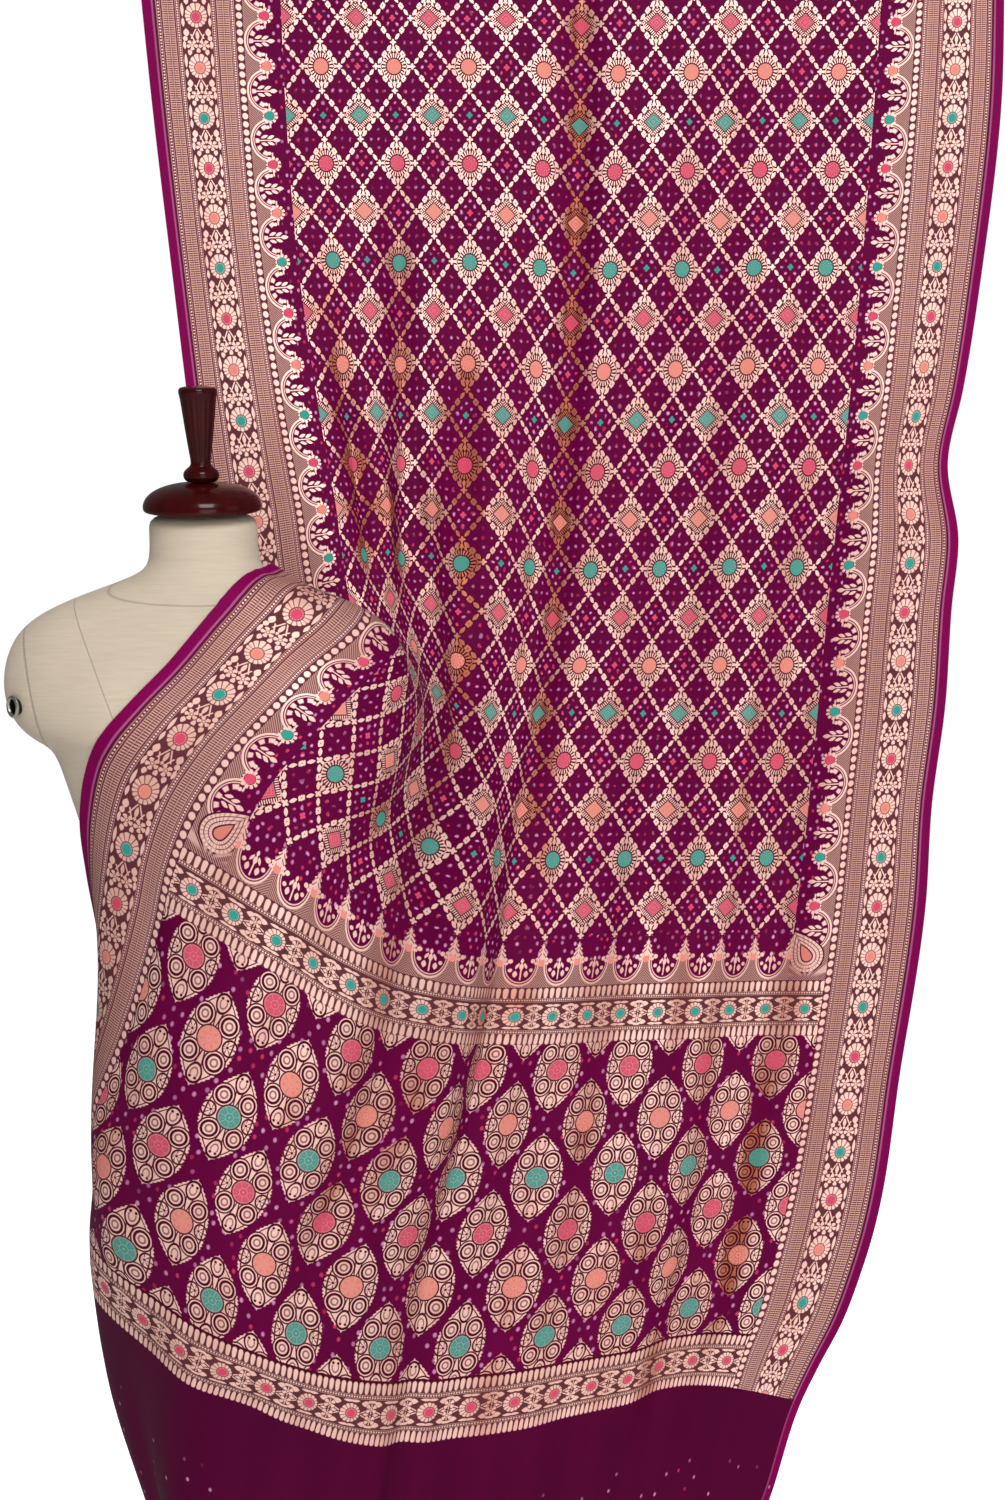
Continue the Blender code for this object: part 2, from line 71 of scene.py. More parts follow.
# Each line down the cloth is named by its distance from the left selvage, and each entry is
# (row, x, y, z), with x, y and z in mm.
HANG = {
    0: (                        # left selvage: behind the neck, over the shoulder, round the side
        (TOP_ROW, -560, -28, 0), (2.0, -535, -55, -215), (5.0, -507, -90, -415),
        (8.0, -477, -135, -612), (10.0, -456, -160, -745), (11.8, -434, -178, -858),
        (12.9, -398, -224, -852), (13.9, -352, -316, -797), (15.0, -382, -370, -826),
        (16.0, -415, -400, -864), (17.0, -452, -420, -908), (18.0, -495, -428, -954),
        (19.0, -541, -411, -1012), (20.0, -562, -375, -1080), (21.0, -564, -338, -1145),
        (22.0, -562, -305, -1210), (24.0, -550, -255, -1345), (26.0, -532, -225, -1482),
        (28.0, -512, -210, -1620), (30.0, -488, -215, -1760), (32.3, -445, -225, -1915),
    ),
    163: (                      # inner edge of the left border
        (TOP_ROW, -378, -22, -1), (2.0, -367, -45, -210), (5.0, -349, -80, -402),
        (8.0, -318, -125, -600), (10.0, -294, -165, -720), (11.2, -283, -187, -790),
        (12.3, -270, -205, -848), (13.2, -243, -262, -870), (14.0, -217, -322, -888),
        (16.0, -268, -415, -958), (18.0, -344, -440, -1046), (20.0, -403, -440, -1163),
        (21.1, -424, -440, -1226), (23.1, -477, -430, -1350), (25.2, -535, -375, -1476),
        (26.2, -556, -350, -1545), (27.3, -567, -320, -1614), (27.9, -569, -303, -1650),
        (30.0, -559, -268, -1785), (32.3, -516, -260, -1930),
    ),
    261: (
        (TOP_ROW, -282, -16, -2), (2.0, -274, -35, -206), (5.0, -263, -59, -395),
        (8.0, -249, -98, -594), (10.0, -238, -131, -716), (11.6, -231, -167, -809),
        (12.8, -217, -206, -873), (13.6, -201, -250, -906), (14.6, -191, -312, -945),
        (16.0, -215, -383, -1017), (18.0, -273, -417, -1102), (20.0, -314, -438, -1218),
        (21.1, -336, -447, -1278), (23.1, -384, -456, -1397), (25.2, -441, -436, -1520),
        (26.2, -456, -424, -1584), (27.3, -470, -402, -1654), (27.9, -478, -386, -1686),
        (30.0, -498, -335, -1815), (32.3, -480, -318, -1962),
    ),
    359: (                      # falls just off the end of the covered arm
        (TOP_ROW, -188, -10, -2), (2.0, -181, -25, -203), (5.0, -178, -40, -392),
        (8.0, -180, -70, -590), (10.0, -182, -92, -717), (12.0, -182, -138, -838),
        (13.2, -176, -170, -908), (14.2, -170, -210, -955), (15.0, -176, -258, -1000),
        (16.0, -193, -305, -1054), (18.0, -219, -355, -1154), (21.1, -257, -405, -1338),
        (23.1, -302, -428, -1452), (25.2, -352, -434, -1569), (26.2, -363, -430, -1632),
        (27.3, -377, -415, -1700), (27.9, -388, -402, -1730), (30.0, -418, -372, -1866),
        (32.3, -430, -355, -2014),
    ),
    457: (
        (TOP_ROW, -87, -5, -1), (2.0, -84, -20, -203), (5.0, -86, -36, -396),
        (8.0, -90, -56, -592), (12.0, -95, -88, -846), (14.0, -105, -112, -972),
        (16.0, -119, -165, -1085), (18.0, -142, -235, -1201), (21.1, -179, -310, -1380),
        (23.1, -219, -345, -1500), (25.2, -262, -365, -1620), (26.2, -277, -365, -1684),
        (27.3, -287, -362, -1758), (27.9, -296, -358, -1793), (32.3, -340, -335, -2070),
    ),
    555: (                      # the middle, where the cloth was folded for keeping
        (TOP_ROW, 15, 0, 0), (2.0, 11, -15, -210), (5.0, 3, -30, -402), (8.0, -8, -47, -600),
        (12.0, -24, -73, -852), (16.0, -62, -122, -1094), (18.0, -76, -165, -1218),
        (21.1, -109, -228, -1403), (23.1, -140, -262, -1525), (25.2, -175, -282, -1656),
        (26.2, -187, -287, -1724), (27.3, -199, -291, -1796), (27.9, -207, -292, -1833),
        (32.3, -250, -280, -2110),
    ),
    751: (
        (TOP_ROW, 210, 0, -1), (5.0, 190, -25, -398), (12.0, 152, -60, -850),
        (18.0, 105, -102, -1222), (21.1, 72, -142, -1418), (25.2, 28, -187, -1676),
        (26.2, 11, -196, -1736), (27.3, -4, -206, -1802), (27.9, -12, -212, -1834),
        (32.3, -58, -230, -2116),
    ),
    947: (                      # inner edge of the right border
        (TOP_ROW, 406, 0, -2), (5.0, 377, -20, -396), (12.0, 331, -55, -848),
        (18.0, 289, -90, -1222), (21.1, 258, -120, -1415), (25.2, 207, -155, -1656),
        (26.2, 190, -166, -1716), (27.3, 169, -180, -1776), (27.9, 161, -186, -1806),
        (32.3, 88, -200, -2088),
    ),
    1110: (                     # right selvage, a little wavy
        (TOP_ROW, 563, 0, 0), (2.0, 558, -10, -196), (5.0, 535, -20, -390), (7.5, 508, -33, -555),
        (9.0, 487, -42, -650), (10.6, 500, -50, -750), (12.0, 491, -56, -838),
        (14.0, 482, -65, -965), (16.0, 464, -75, -1092), (18.0, 454, -90, -1219),
        (21.1, 419, -120, -1415), (25.2, 367, -155, -1663), (26.2, 340, -166, -1730),
        (27.3, 305, -178, -1790), (27.9, 286, -184, -1825), (30.0, 243, -195, -1950),
        (32.3, 188, -200, -2086),
    ),
}

# Soft creases, in mm: (first row, last row, across at first, across at last, height, half width).
# Height is towards the looker, so a trough is below zero.
CREASES = (
    (TOP_ROW, 31.0, 555, 555, -13, 20),     # keeping fold down the middle
    (3.0, 12.6, 305, 318, -13, 19),      # gathers that run down to the shoulder
    (6.0, 12.2, 205, 226, -12, 17),
    (6.5, 15.5, 405, 408, -13, 19),
    (7.5, 12.4, 255, 270, 9, 15),
    (8.0, 13.4, 356, 364, 9, 17),
    (14.5, 24.0, 470, 500, 10, 30),      # rolls from the arm down into the middle fold
    (15.0, 27.0, 400, 415, -9, 24),
    (1.0, 22.0, 655, 640, 9, 42),        # slack waves of the free side
    (0.0, 27.0, 745, 722, -9, 40),
    (4.0, 30.0, 842, 826, 9, 40),
    (8.0, 31.0, 925, 905, -10, 36),
    (6.0, 28.0, 1000, 985, 7, 30),
    (20.0, 31.0, 640, 600, -8, 36),
    (19.0, 30.0, 866, 880, -8, 18),
    (26.0, BOTTOM_ROW, 300, 330, 12, 40),      # plain end
    (26.5, BOTTOM_ROW, 440, 470, -11, 34),
    (26.5, BOTTOM_ROW, 700, 720, 10, 34),
    (17.0, 25.0, 300, 285, -6, 34),      # chest
    (18.0, 26.0, 215, 225, 5, 34),
)
CREASE_END = 2.2                # rows over which a crease fades in and out

# The same for the small creases that only the thin sheet shows.
SMALL_CREASES = (
    (2.0, 12.0, 590, 588, 2.5, 12),
    (4.0, 16.0, 510, 512, -3.0, 12),
    (5.0, 13.0, 470, 462, 3.0, 11),
    (7.0, 12.8, 338, 346, -5.0, 9),
    (7.5, 12.8, 286, 296, -4.0, 8),
    (8.2, 13.0, 378, 382, -4.0, 8),
    (8.5, 12.6, 232, 246, 4.0, 8),
    (9.0, 13.5, 432, 436, 4.0, 10),
    (12.0, 22.0, 600, 590, 3.0, 16),
    (16.0, 27.0, 690, 676, 3.5, 18),
    (18.0, 27.0, 795, 780, -3.5, 16),
    (6.0, 20.0, 790, 786, 2.5, 18),
    (14.0, 27.5, 965, 950, 3.0, 16),
    (10.0, 22.0, 880, 872, -2.5, 16),
    (22.0, 28.0, 905, 912, 4.0, 14),
    (23.0, 30.0, 820, 842, 4.0, 15),
    (24.0, 31.0, 560, 530, 4.0, 18),
    (27.0, 32.3, 380, 400, -6.0, 18),
    (27.0, 32.3, 520, 545, 5.0, 20),
    (28.0, 32.3, 230, 250, -6.0, 22),
    (27.5, 32.3, 620, 640, -4.0, 22),
    (28.0, 32.3, 820, 850, -5.0, 24),
    (19.0, 26.0, 130, 150, 3.0, 20),
    (16.0, 22.0, 350, 330, 3.0, 22),
)

# Streaks of painted shade, where the zari on the slope of a fold takes its shaded colour:
# (first row, last row, across at first, across at last, strength, half width), half width in mm.
ZARI_SHADE_STREAKS = (
    (-0.5, 5.5, 186, 192, 0.40, 24), (4.0, 12.5, 196, 206, 0.95, 27),
    (4.0, 9.5, 308, 314, 0.80, 13), (8.3, 13.0, 272, 304, 0.75, 34),
    (5.0, 9.5, 366, 380, 0.50, 15), (5.5, 15.5, 404, 424, 0.95, 18),
    (12.0, 18.0, 384, 396, 0.80, 20), (15.2, 18.7, 262, 300, 0.85, 46),
    (-1.2, 17.5, 553, 557, 0.95, 12), (3.0, 6.5, 562, 566, 0.60, 16),
    (12.8, 18.7, 584, 590, 0.60, 16), (6.0, 12.5, 592, 600, 0.35, 10),
    (13.5, 19.0, 700, 706, 0.45, 12), (12.5, 18.7, 914, 926, 0.65, 17),
    (13.5, 18.5, 848, 860, 0.40, 13), (9.5, 15.5, 500, 506, 0.45, 12),
    (18.5, 20.8, 296, 300, 0.70, 13), (18.5, 20.8, 352, 356, 0.70, 14),
    (18.5, 20.8, 584, 578, 0.90, 20), (18.5, 20.8, 676, 680, 0.55, 13),
    (18.5, 20.8, 730, 736, 0.80, 12), (18.5, 20.8, 872, 880, 0.55, 12),
    (18.5, 20.8, 962, 966, 0.75, 13), (20.2, 23.2, 256, 262, 0.45, 13),
    (20.2, 23.2, 360, 366, 0.65, 16), (20.2, 24.2, 452, 458, 0.75, 15),
    (21.0, 25.4, 400, 406, 0.65, 13), (21.2, 23.8, 698, 706, 0.70, 17),
    (21.2, 24.4, 316, 324, 0.50, 14), (20.5, 28.0, 932, 946, 0.85, 15),
    (23.2, 26.4, 798, 806, 0.65, 15), (24.2, 27.0, 592, 560, 0.60, 14),
    (26.6, 28.0, 212, 220, 0.50, 18), (26.6, 28.0, 640, 636, 0.55, 12),
)

# ---- how the weave is laid out, in rows down and mm across ----------------------------------
BAND_WIDTH = 163.0              # side border, selvage to net
SCALLOP_WIDTH = 47.0            # the inner part of it that has the arches
NET_PITCH = 49.0                # mm across, half the width of a net diamond and its neighbour
NET_END = 18.56                 # last net cell
CORNER_ROW = 19.02              # middle of the mango in the net's corner
CROWN_END = 19.49
CROSS_VINE_ROW = 20.06
PALLU_START = 20.6
ALMOND_ROW = 21.1               # first row of almonds
ALMOND_PITCH = 1.02             # rows
END_BAND_START = 26.76
END_VINE_ROW = 27.38
END_BAND_END = 27.98
COLOUR_CYCLE = 3.0              # pink, peach and teal follow each other row by row

# ---- the motifs of the weave, in mm -----------------------------------------------------------
# A leaf is (along, across, lean, half length, half width), and a bud is (along, across, half
# length, half width). A ring is (reach, half width, soft edge), as shares of its oval. Where a
# motif is the same on both sides, one side is listed.
HATCH_PITCH = 3.1
CLOSE_GROUND = 0.08             # how far close weave lightens the ground
STREAK_STRETCH = (22.0, 2.6, 1.0)       # streaks down the cloth: random darker ground, and zari in its painted shade colour
GUARD_SHADE = 0.4              # how far the guard bands follow the zari's painted shade colour
DOT_STRAY = 0.45                # how far a tied dot strays from its place, as a share of a cell
DOT_LINE_PITCH = 3.1

# Vine: from the foot of a rosette, and from the small flowers.
VINE_HALF = 17.6
VINE_FOOT_LEAVES = ((9.0, 0.0, 0.0, 6.0, 2.1), (5.2, 12.8, 0.0, 5.2, 3.3),
                    (-8.0, 15.6, 0.0, 6.0, 1.8))
VINE_FOOT_BUDS = ((16.4, 0.0, 1.9, 1.9), (12.8, 14.4, 3.1, 2.7))
VINE_BLOOM_LEAVES = ((0.0, 15.7, 0.0, 5.4, 2.1), (7.6, 0.0, 0.0, 4.2, 2.3),
                     (9.2, 10.2, 0.0, 4.2, 2.5), (20.0, 15.6, 0.0, 9.0, 1.8))
VINE_STEMS = (                  # (lean, start, middle, reach): a stem is at start + lean * foot
    (0.5, 0.9, 4.0, 9.0), (-0.45, 11.0, 12.0, 5.0),
)
VINE_STEM_HALF = 0.8
SMALL_FLOWER_OFF = 7.0
SMALL_FLOWER_RADIUS = 6.3
ROSETTE_PETALS = 15

# Side border, from the net's edge outwards.
BEAD_LINE = 51.5
BEAD_HALF = (4.0, 3.5)          # along and across
BEADS_PER_ROW = 6
BORDER_DOT_LINES = ((59.2, 3.2), (81.2, 3.2), (122.6, 3.2), (144.3, 4.0))      # (place, pitch)
GUARD_BANDS = ((69.8, 7.4), (133.4, 6.9))       # (place, half width)
BAND_MIDDLE = 98.0              # of all that lies on the close ground of the border
BORDER_VINE_LINE = 101.5
BORDER_VINE_HALF = 17.8
SELVAGE_LINE = 149.6            # the bright strip starts here
SELVAGE_THREAD = 151.0          # a pale thread in it

# Arches and rosettes at the net's edge.
ROSETTE_LINE = 21.5
ARCH_HALF = (24.5, 27.5)        # across and along
ARCH_RINGS = ((1.0, 0.05, 0.03), (0.88, 0.022, 0.025))
FRILL_RING = (0.70, 0.10, 0.06)
SPRIG_LEAVES = ((14.5, 0.0, 0.0, 5.2, 2.7), (21.5, 4.2, 0.35, 4.6, 2.2),
                (29.5, 5.0, 0.3, 4.6, 2.1))
SPRIG_BUDS = ((24.5, 17.5, 2.3, 2.3),)
SPRIG_STEM = (29.0, 11.0)       # middle and reach

# The mango in each lower corner of the net.
MANGO_WAY = (0.50, 0.87)        # its tip points inwards and up
MANGO_RADIUS = 20.0
MANGO_TIP = 37.0
MANGO_RINGS = ((0.80, 0.028, 0.03), (0.57, 0.028, 0.03), (0.36, 0.028, 0.03))
MANGO_GAP = 1.10                # bare ground round it, as a share

# The net: leaves along its lines, buds where they cross, medallions and dots in its cells.
NET_LEAVES = ((9.8, 0.0, 0.0, 5.2, 2.35),)
NET_BUDS = ((18.0, 1.2, 1.8, 1.9), (20.6, 2.0, 1.5, 1.6), (0.0, 0.0, 1.5, 1.5))
CROSSING_BUDS = ((22.6, 0.0, 2.3, 1.6), (0.0, 30.4, 1.6, 2.3))
NET_LINE_LENGTHS = (39.1, 40.7)         # a cell's width over its line, and its line's length
# Leaves at a medallion's tips: (to tip, to side, slant, half length, half width).
UPPER_SPRAY = ((23.6, 0.0, 0.0, 5.2, 1.9), (19.6, 4.9, 0.6, 4.0, 1.45))
SIDE_SPRAY = ((20.2, 0.0, 0.0, 4.2, 1.8), (16.6, 5.8, 0.6, 3.8, 1.45))
ROUND_CORE = 53.0               # what a round and a square medallion's reach is a share of
SQUARE_CORE = 65.0
CORE_EDGE = 0.182
RAY_RING = (0.262, 0.052, 0.012)
SPRAY_START = 0.33
TIED_DOT = (1.75, 2.1)          # half width and half height
OPEN_CELL_DOTS = (10.2, 13.0)   # across and down
CLOSE_CELL_DOTS = (12.2, 16.2)
INNER_DOTS = (6.1, 8.1)
FLOWER_BUDS = ((2.0, 0.0, 2.0, 1.8), (0.0, 2.2, 1.8, 2.2))

# Border across the cloth, from its vine's middle down, and the crown over it.
CROSS_VINE = (12.4, 13.4)       # half length and half width of a rosette
CROSS_VINE_SQUEEZE = 1.12
CROSS_VINE_HALF = 15.6
CROSS_DOT_LINES = ((-20.8, DOT_LINE_PITCH), (19.2, DOT_LINE_PITCH))
CROWN_DROP = 68.0               # the bowls' rim lies this far above the vine
BOWL_HALF = (20.0, 28.0)        # across and down
BOWL_RINGS = ((1.0, 0.05, 0.035), (0.87, 0.025, 0.03))
FIR_PITCH = 5.6                 # from branch to branch
CROWN_LEAVES = ((-3.5, 0.0, 0.0, 3.4, 1.7), (4.0, 0.0, 0.0, 5.0, 2.3),
                (3.0, 4.4, -0.4, 4.0, 1.7), (13.5, 6.0, 0.0, 4.4, 2.5))
CROWN_BUDS = ((8.5, 11.5, 2.4, 2.3),)
CROWN_STEM = (13.0, 8.0)        # middle and reach
FIR_BUDS = ((-3.0, 12.0, 2.8, 2.8),)

# The almonds of the pallu.
ALMOND_HALF = (28.6, 53.5)      # across and down
ALMOND_CURVE = 2.3              # 1 is a lozenge, more is rounder
DISC_PLACE = (14.0, 20.5)
DISC_HALF = (9.0, 10.2)
DISC_RINGS = ((0.84, 0.15, 0.05), (1.22, 0.09, 0.05))
TIP_HEART = 39.0                # down to the middle of the heart at an almond's tip
TIP_HEART_HALF = (7.4, 10.5)
SIDE_FAN = 22.8
SIDE_FAN_HALF = (7.2, 8.4)
FLOWER_RADIUS = 12.2
FLOWER_PETALS = 7
FLOWER_RINGS = (4.4, 11.2)

# Last band, from its vine's middle down.
END_VINE = (11.9, 12.6)
END_VINE_HALF = 17.0
END_DOT_LINES = ((-20.6, DOT_LINE_PITCH), (21.2, DOT_LINE_PITCH))

# Cells of the thin sheet: (first, last, cells), first and last in rows or in mm.
SHEET_ROWS = (
    (TOP_ROW, 9.0, 62), (9.0, NET_END, 92), (NET_END, CROWN_END, 9),
    (CROWN_END, PALLU_START, 9),
    (PALLU_START, END_BAND_START, 48), (END_BAND_START, END_BAND_END, 10),
    (END_BAND_END, BOTTOM_ROW, 30),
)
SHEET_COLUMNS = (
    (0.0, BAND_WIDTH - SCALLOP_WIDTH, 15), (BAND_WIDTH - SCALLOP_WIDTH, BAND_WIDTH, 6),
    (BAND_WIDTH, CLOTH_WIDTH - BAND_WIDTH, 92),
    (CLOTH_WIDTH - BAND_WIDTH, CLOTH_WIDTH - BAND_WIDTH + SCALLOP_WIDTH, 6),
    (CLOTH_WIDTH - BAND_WIDTH + SCALLOP_WIDTH, CLOTH_WIDTH, 12),
)

# ---- the dress form -------------------------------------------------------------------------
FORM_X = -428 * MM
FORM_SEGMENTS = 32
NECK_TILT = 12.0                # degrees, top of the neck leans towards the looker
NECK_TOP = Vector((FORM_X, -336 * MM, -738 * MM))
ARM_GAP_Z = (-862, -1008)       # mm, top and bottom of the armhole seam
ARM_GAP_X = (203, 172)          # mm from the form's middle at that top and bottom
ARM_RUN = (ARM_GAP_X[0] - ARM_GAP_X[1]) / (ARM_GAP_Z[0] - ARM_GAP_Z[1])
SEAT = 0.3 * MM                 # gap between pieces that touch
ARM_FOOT = 1.0 * MM             # the arm stops this far above the seam's lower end
SEWN_EDGE = 3.2 * MM            # how far sewn edges are rounded
BUST_X = 78 * MM
BUST_Y = -425 * MM
BUST_Z = -985 * MM
BUST_HEIGHT = 13 * MM
BUST_REACH = 105 * MM
# Stitched seams: one down each side of the chest, and one round the foot of the neck.
CHEST_SEAM_TOP = (142 * MM, -838 * MM)  # from the form's middle, and z
CHEST_SEAM_LEAN = 0.44
CHEST_SEAM_LEAST = 62 * MM
CHEST_SEAM_EDGES = (-335 * MM, -832 * MM)       # it shows in front of this y and below this z
NECK_SEAM = (-330 * MM, -806 * MM)      # y and z of its side
NECK_SEAM_SLOPE = 0.55
SEAM_HALF = 0.8 * MM
STITCH_PITCH = 3.2 * MM

# Level sections, in mm: (z, half width, half depth, y of the middle, share of the neck's tilt).
FORM = (
    (-738, 61, 55, -336, 1.00),
    (-758, 61, 55, -334, 0.75),
    (-786, 61, 58, -329, 0.35),
    (-804, 66, 63, -326, 0.10),
    (-816, 94, 68, -325, 0.0),
    (-829, 132, 74, -325, 0.0),
    (-845, 172, 80, -325, 0.0),
    (-862, 201, 84, -325, 0.0),
    (-882, 219, 89, -325, 0.0),
    (-908, 229, 94, -325, 0.0),
    (-936, 232, 98, -325, 0.0),
    (-964, 226, 101, -325, 0.0),
    (-986, 211, 102, -325, 0.0),
    (-1000, 190, 102, -325, 0.0),
    (-1008, 172, 102, -325, 0.0),
    (-1050, 159, 99, -325, 0.0),
    (-1095, 143, 94, -325, 0.0),
    (-1150, 130, 90, -325, 0.0),
    (-1240, 121, 88, -325, 0.0),
    (-1330, 127, 92, -325, 0.0),
    (-1430, 135, 96, -325, 0.0),
    (-1520, 133, 95, -325, 0.0),
    (-1580, 127, 91, -325, 0.0),
    (-1596, 121, 86, -325, 0.0),
    (-1603, 113, 78, -325, 0.0),
)

# Turned profiles, in mm: (radius, height above the top of the neck).
CAP_PROFILE = ((61, 0.3), (65.4, 0.8), (66.8, 3.0), (67.0, 7.0), (65.6, 12.0), (62.0, 17.4),
               (55.5, 22.6), (46, 27.0), (34, 30.2), (22, 31.8), (10, 32.1))
FINIAL_PROFILE = ((12, 32.4), (16.4, 33.2), (19.6, 36.4), (20.6, 40.6), (19.4, 45.0), (15.0, 48.6),
                  (12.2, 50.8), (11.4, 53.0), (12.0, 58.0), (13.8, 69.0), (16.4, 88.0),
                  (19.4, 112.0), (21.0, 125.0), (21.8, 131.0), (21.4, 135.5), (18.0, 137.6),
                  (8.0, 138.0))
FLUTE_HEIGHTS = (55.0, 127.0)   # mm, the fluted stretch of the finial

RING_POINT = Vector((FORM_X - 207.3 * MM, -369.3 * MM, -958 * MM))
RING_FACING = Vector((-0.72, -0.68, -0.08)).normalized()
RING_TURN = RING_FACING.to_track_quat("Z", "Y").to_euler()
# Profile of the bolt ring and its socket, in mm: (radius, height above the linen).
RING_PROFILE = ((8.9, -9.0), (8.9, 0.2), (12.6, 0.3), (12.8, 1.6), (11.9, 3.0), (10.5, 3.5),
                (9.3, 3.0), (8.5, 1.6), (8.3, 0.2), (8.2, -7.6), (5.0, -8.0))
SOCKET_DEPTH = 0.8 * MM         # below this the socket is near black: painted shade of the hole
BOLT_HOLE_RADIUS = 9.3 * MM
BOLT_HOLE_DEPTH = 14 * MM

# ---- the stage ----------------------------------------------------------------------------------
LIGHTS = (                      # (name, place, what it points at, width, watts), in metres
    ("key light", (1.0, -5.4, 4.0), (-0.1, -0.25, -1.0), 2.8, 385.0),
    ("front light", (1.2, -5.0, -0.9), (-0.05, -0.2, -1.2), 2.6, 56.0),
    ("side light", (2.8, -1.6, 0.2), (0.0, -0.2, -1.2), 1.6, 4.0),
    ("back light", (0.6, 2.6, 1.0), (0.0, -0.2, -0.8), 2.0, 40.0),
)
FLOOR_RADIUS = 14.0
FILL_LIGHT = 0.18               # even light of the studio on the pieces


def screen_colour(red, green, blue):
    """A colour given as it looks on a screen, 0 to 255."""
    def plain(value):
        share = value / 255
        return share / 12.92 if share <= 0.04045 else ((share + 0.055) / 1.055) ** 2.4
    return tuple(plain(v) for v in (red, green, blue))


def colour_property(name, description, red, green, blue):
    """A colour that the user can change."""
    return FloatVectorProperty(name=name, description=description, subtype="COLOR",
                               min=0.0, max=1.0, default=screen_colour(red, green, blue))


class DrapeClothSettings(PropertyGroup):
    """Sizes and colours of the cloth."""
    thickness: FloatProperty(name="Thickness", description="Thickness of the georgette",
                             default=0.0006, min=0.0002, max=0.002, subtype="DISTANCE",
                             unit="LENGTH", precision=4)
    ground: colour_property("Ground", "Wine ground of the field", 95, 0, 56)
    selvage: colour_property("Selvage", "Bright strip along both selvages", 122, 0, 74)
    plain_end: colour_property("Plain end", "Plain end under the last band", 79, 0, 46)
    zari: colour_property("Zari", "Metal thread that faces the light", 244, 196, 184)
    # darker, browner ground in the woven zones: partly the mixed threads, partly painted shade
    # beside the raised zari
    outline: colour_property("Gap tone and shade", "Dark gaps between the woven leaves", 74, 8, 32)
    # painted shade: the zari's colour where a fold turns it from the light
    shaded_zari: colour_property("Turned zari", "Metal thread on the slope of a fold", 176, 100, 74)
    guard: colour_property("Guard bands", "Close weave of the guard bands", 206, 158, 145)
    teal: colour_property("Teal", "Teal brocade thread", 54, 152, 140)
    pink: colour_property("Pink", "Pink brocade thread", 212, 74, 104)
    peach: colour_property("Peach", "Peach brocade thread", 230, 136, 122)
    knots: colour_property("Dots", "Tie-dyed dots", 228, 152, 204)
    red_knots: colour_property("Red dots", "Tie-dyed dots in red", 214, 62, 92)


class DrapeFormSettings(PropertyGroup):
    """Sizes and colours of the dress form."""
    linen: colour_property("Linen", "Cover of the dress form", 212, 195, 173)
    wood: colour_property("Wood", "Polished wood of cap and finial", 58, 6, 7)
    nickel: colour_property("Nickel", "Ring round the bolt hole", 176, 172, 166)
    flutes: IntProperty(name="Flutes", description="Flutes round the finial", default=18,
                        min=6, max=30)
    linen_pitch: FloatProperty(name="Linen weave", description="Width of one linen thread",
                               default=0.0009, min=0.0004, max=0.003, subtype="DISTANCE",
                               unit="LENGTH", precision=4)


class DrapeStageSettings(PropertyGroup):
    """Camera, floor and light."""
    camera: FloatVectorProperty(name="Camera", description="Where the camera stands",
                                default=(-0.090, -2.301, -0.905), subtype="XYZ", unit="LENGTH")
    pitch: FloatProperty(name="Pitch", description="How far the camera looks down",
                         default=math.radians(3.0), subtype="ANGLE", unit="ROTATION")
    lens: FloatProperty(name="Lens", description="Focal length of the camera",
                        default=41.544, subtype="DISTANCE_CAMERA")
    floor: colour_property("Floor", "Colour of the floor", 250, 250, 250)
    floor_height: FloatProperty(name="Floor height", description="Height of the floor",
                                default=-2.32, subtype="DISTANCE", unit="LENGTH")
    light: FloatProperty(name="Light", description="Strength of the soft lights", default=1.0,
                         min=0.0, max=10.0)


# ---- sums in materials -----------------------------------------------------------------------
class Term:
    """A number that changes over the surface. A sum on it becomes a Math node."""

    def __init__(self, socket):
        self.socket = socket
        self.tree = socket.id_data

    def __add__(self, other):
        return sum_node("ADD", self, other)

    def __sub__(self, other):
        return sum_node("SUBTRACT", self, other)

    def __rsub__(self, other):
        return sum_node("SUBTRACT", other, self)

    def __mul__(self, other):
        return sum_node("MULTIPLY", self, other)

    def __truediv__(self, other):
        return sum_node("DIVIDE", self, other)

    __radd__ = __add__
    __rmul__ = __mul__


def sum_node(operation, *terms, clamp=False):
    """One Math node on terms and plain numbers."""
    tree = next(t.tree for t in terms if isinstance(t, Term))
    node = tree.nodes.new("ShaderNodeMath")
    node.operation = operation
    node.use_clamp = clamp
    for socket, term in zip(node.inputs, terms):
        if isinstance(term, Term):
            tree.links.new(term.socket, socket)
        else:
            socket.default_value = term
    return Term(node.outputs[0])


def low(a, b):
    """The lower of two."""
    return sum_node("MINIMUM", a, b)


def high(a, b):
    """The higher of two."""
    return sum_node("MAXIMUM", a, b)


def size(a):
    """How far from 0, either way."""
    return sum_node("ABSOLUTE", a)


def nearest(a):
    """The whole number nearest to a."""
    return sum_node("FLOOR", a + 0.5)


def from_nearest(a, pitch):
    """How far a is past the nearest multiple of the pitch."""
    steps = a / pitch
    return (steps - nearest(steps)) * pitch


def turn_over(a, count):
    """The remainder of a whole number, from 0 to count - 1."""
    return nearest(sum_node("FLOORED_MODULO", a + 0.01, count))


def reach(a, b):
    """Distance from the middle."""
    return sum_node("SQRT", sum_node("MULTIPLY_ADD", a, a, b * b))


def wave(a):
    """A wave from 1 to -1 and back each full turn."""
    return sum_node("COSINE", a)


def lines_of(a, pitch):
    """A wave that is 1 at every multiple of the pitch."""
    return wave(a * (math.tau / pitch))


def hatching(a):
    """Close slanting lines."""
    return outside(lines_of(a, HATCH_PITCH), -0.1, 0.8)


def inside(value, edge, soft=0.5):
    """1 where the value is under the edge, with a soft edge this wide."""
    return sum_node("MULTIPLY_ADD", value, -1.0 / soft, edge / soft + 0.5, clamp=True)


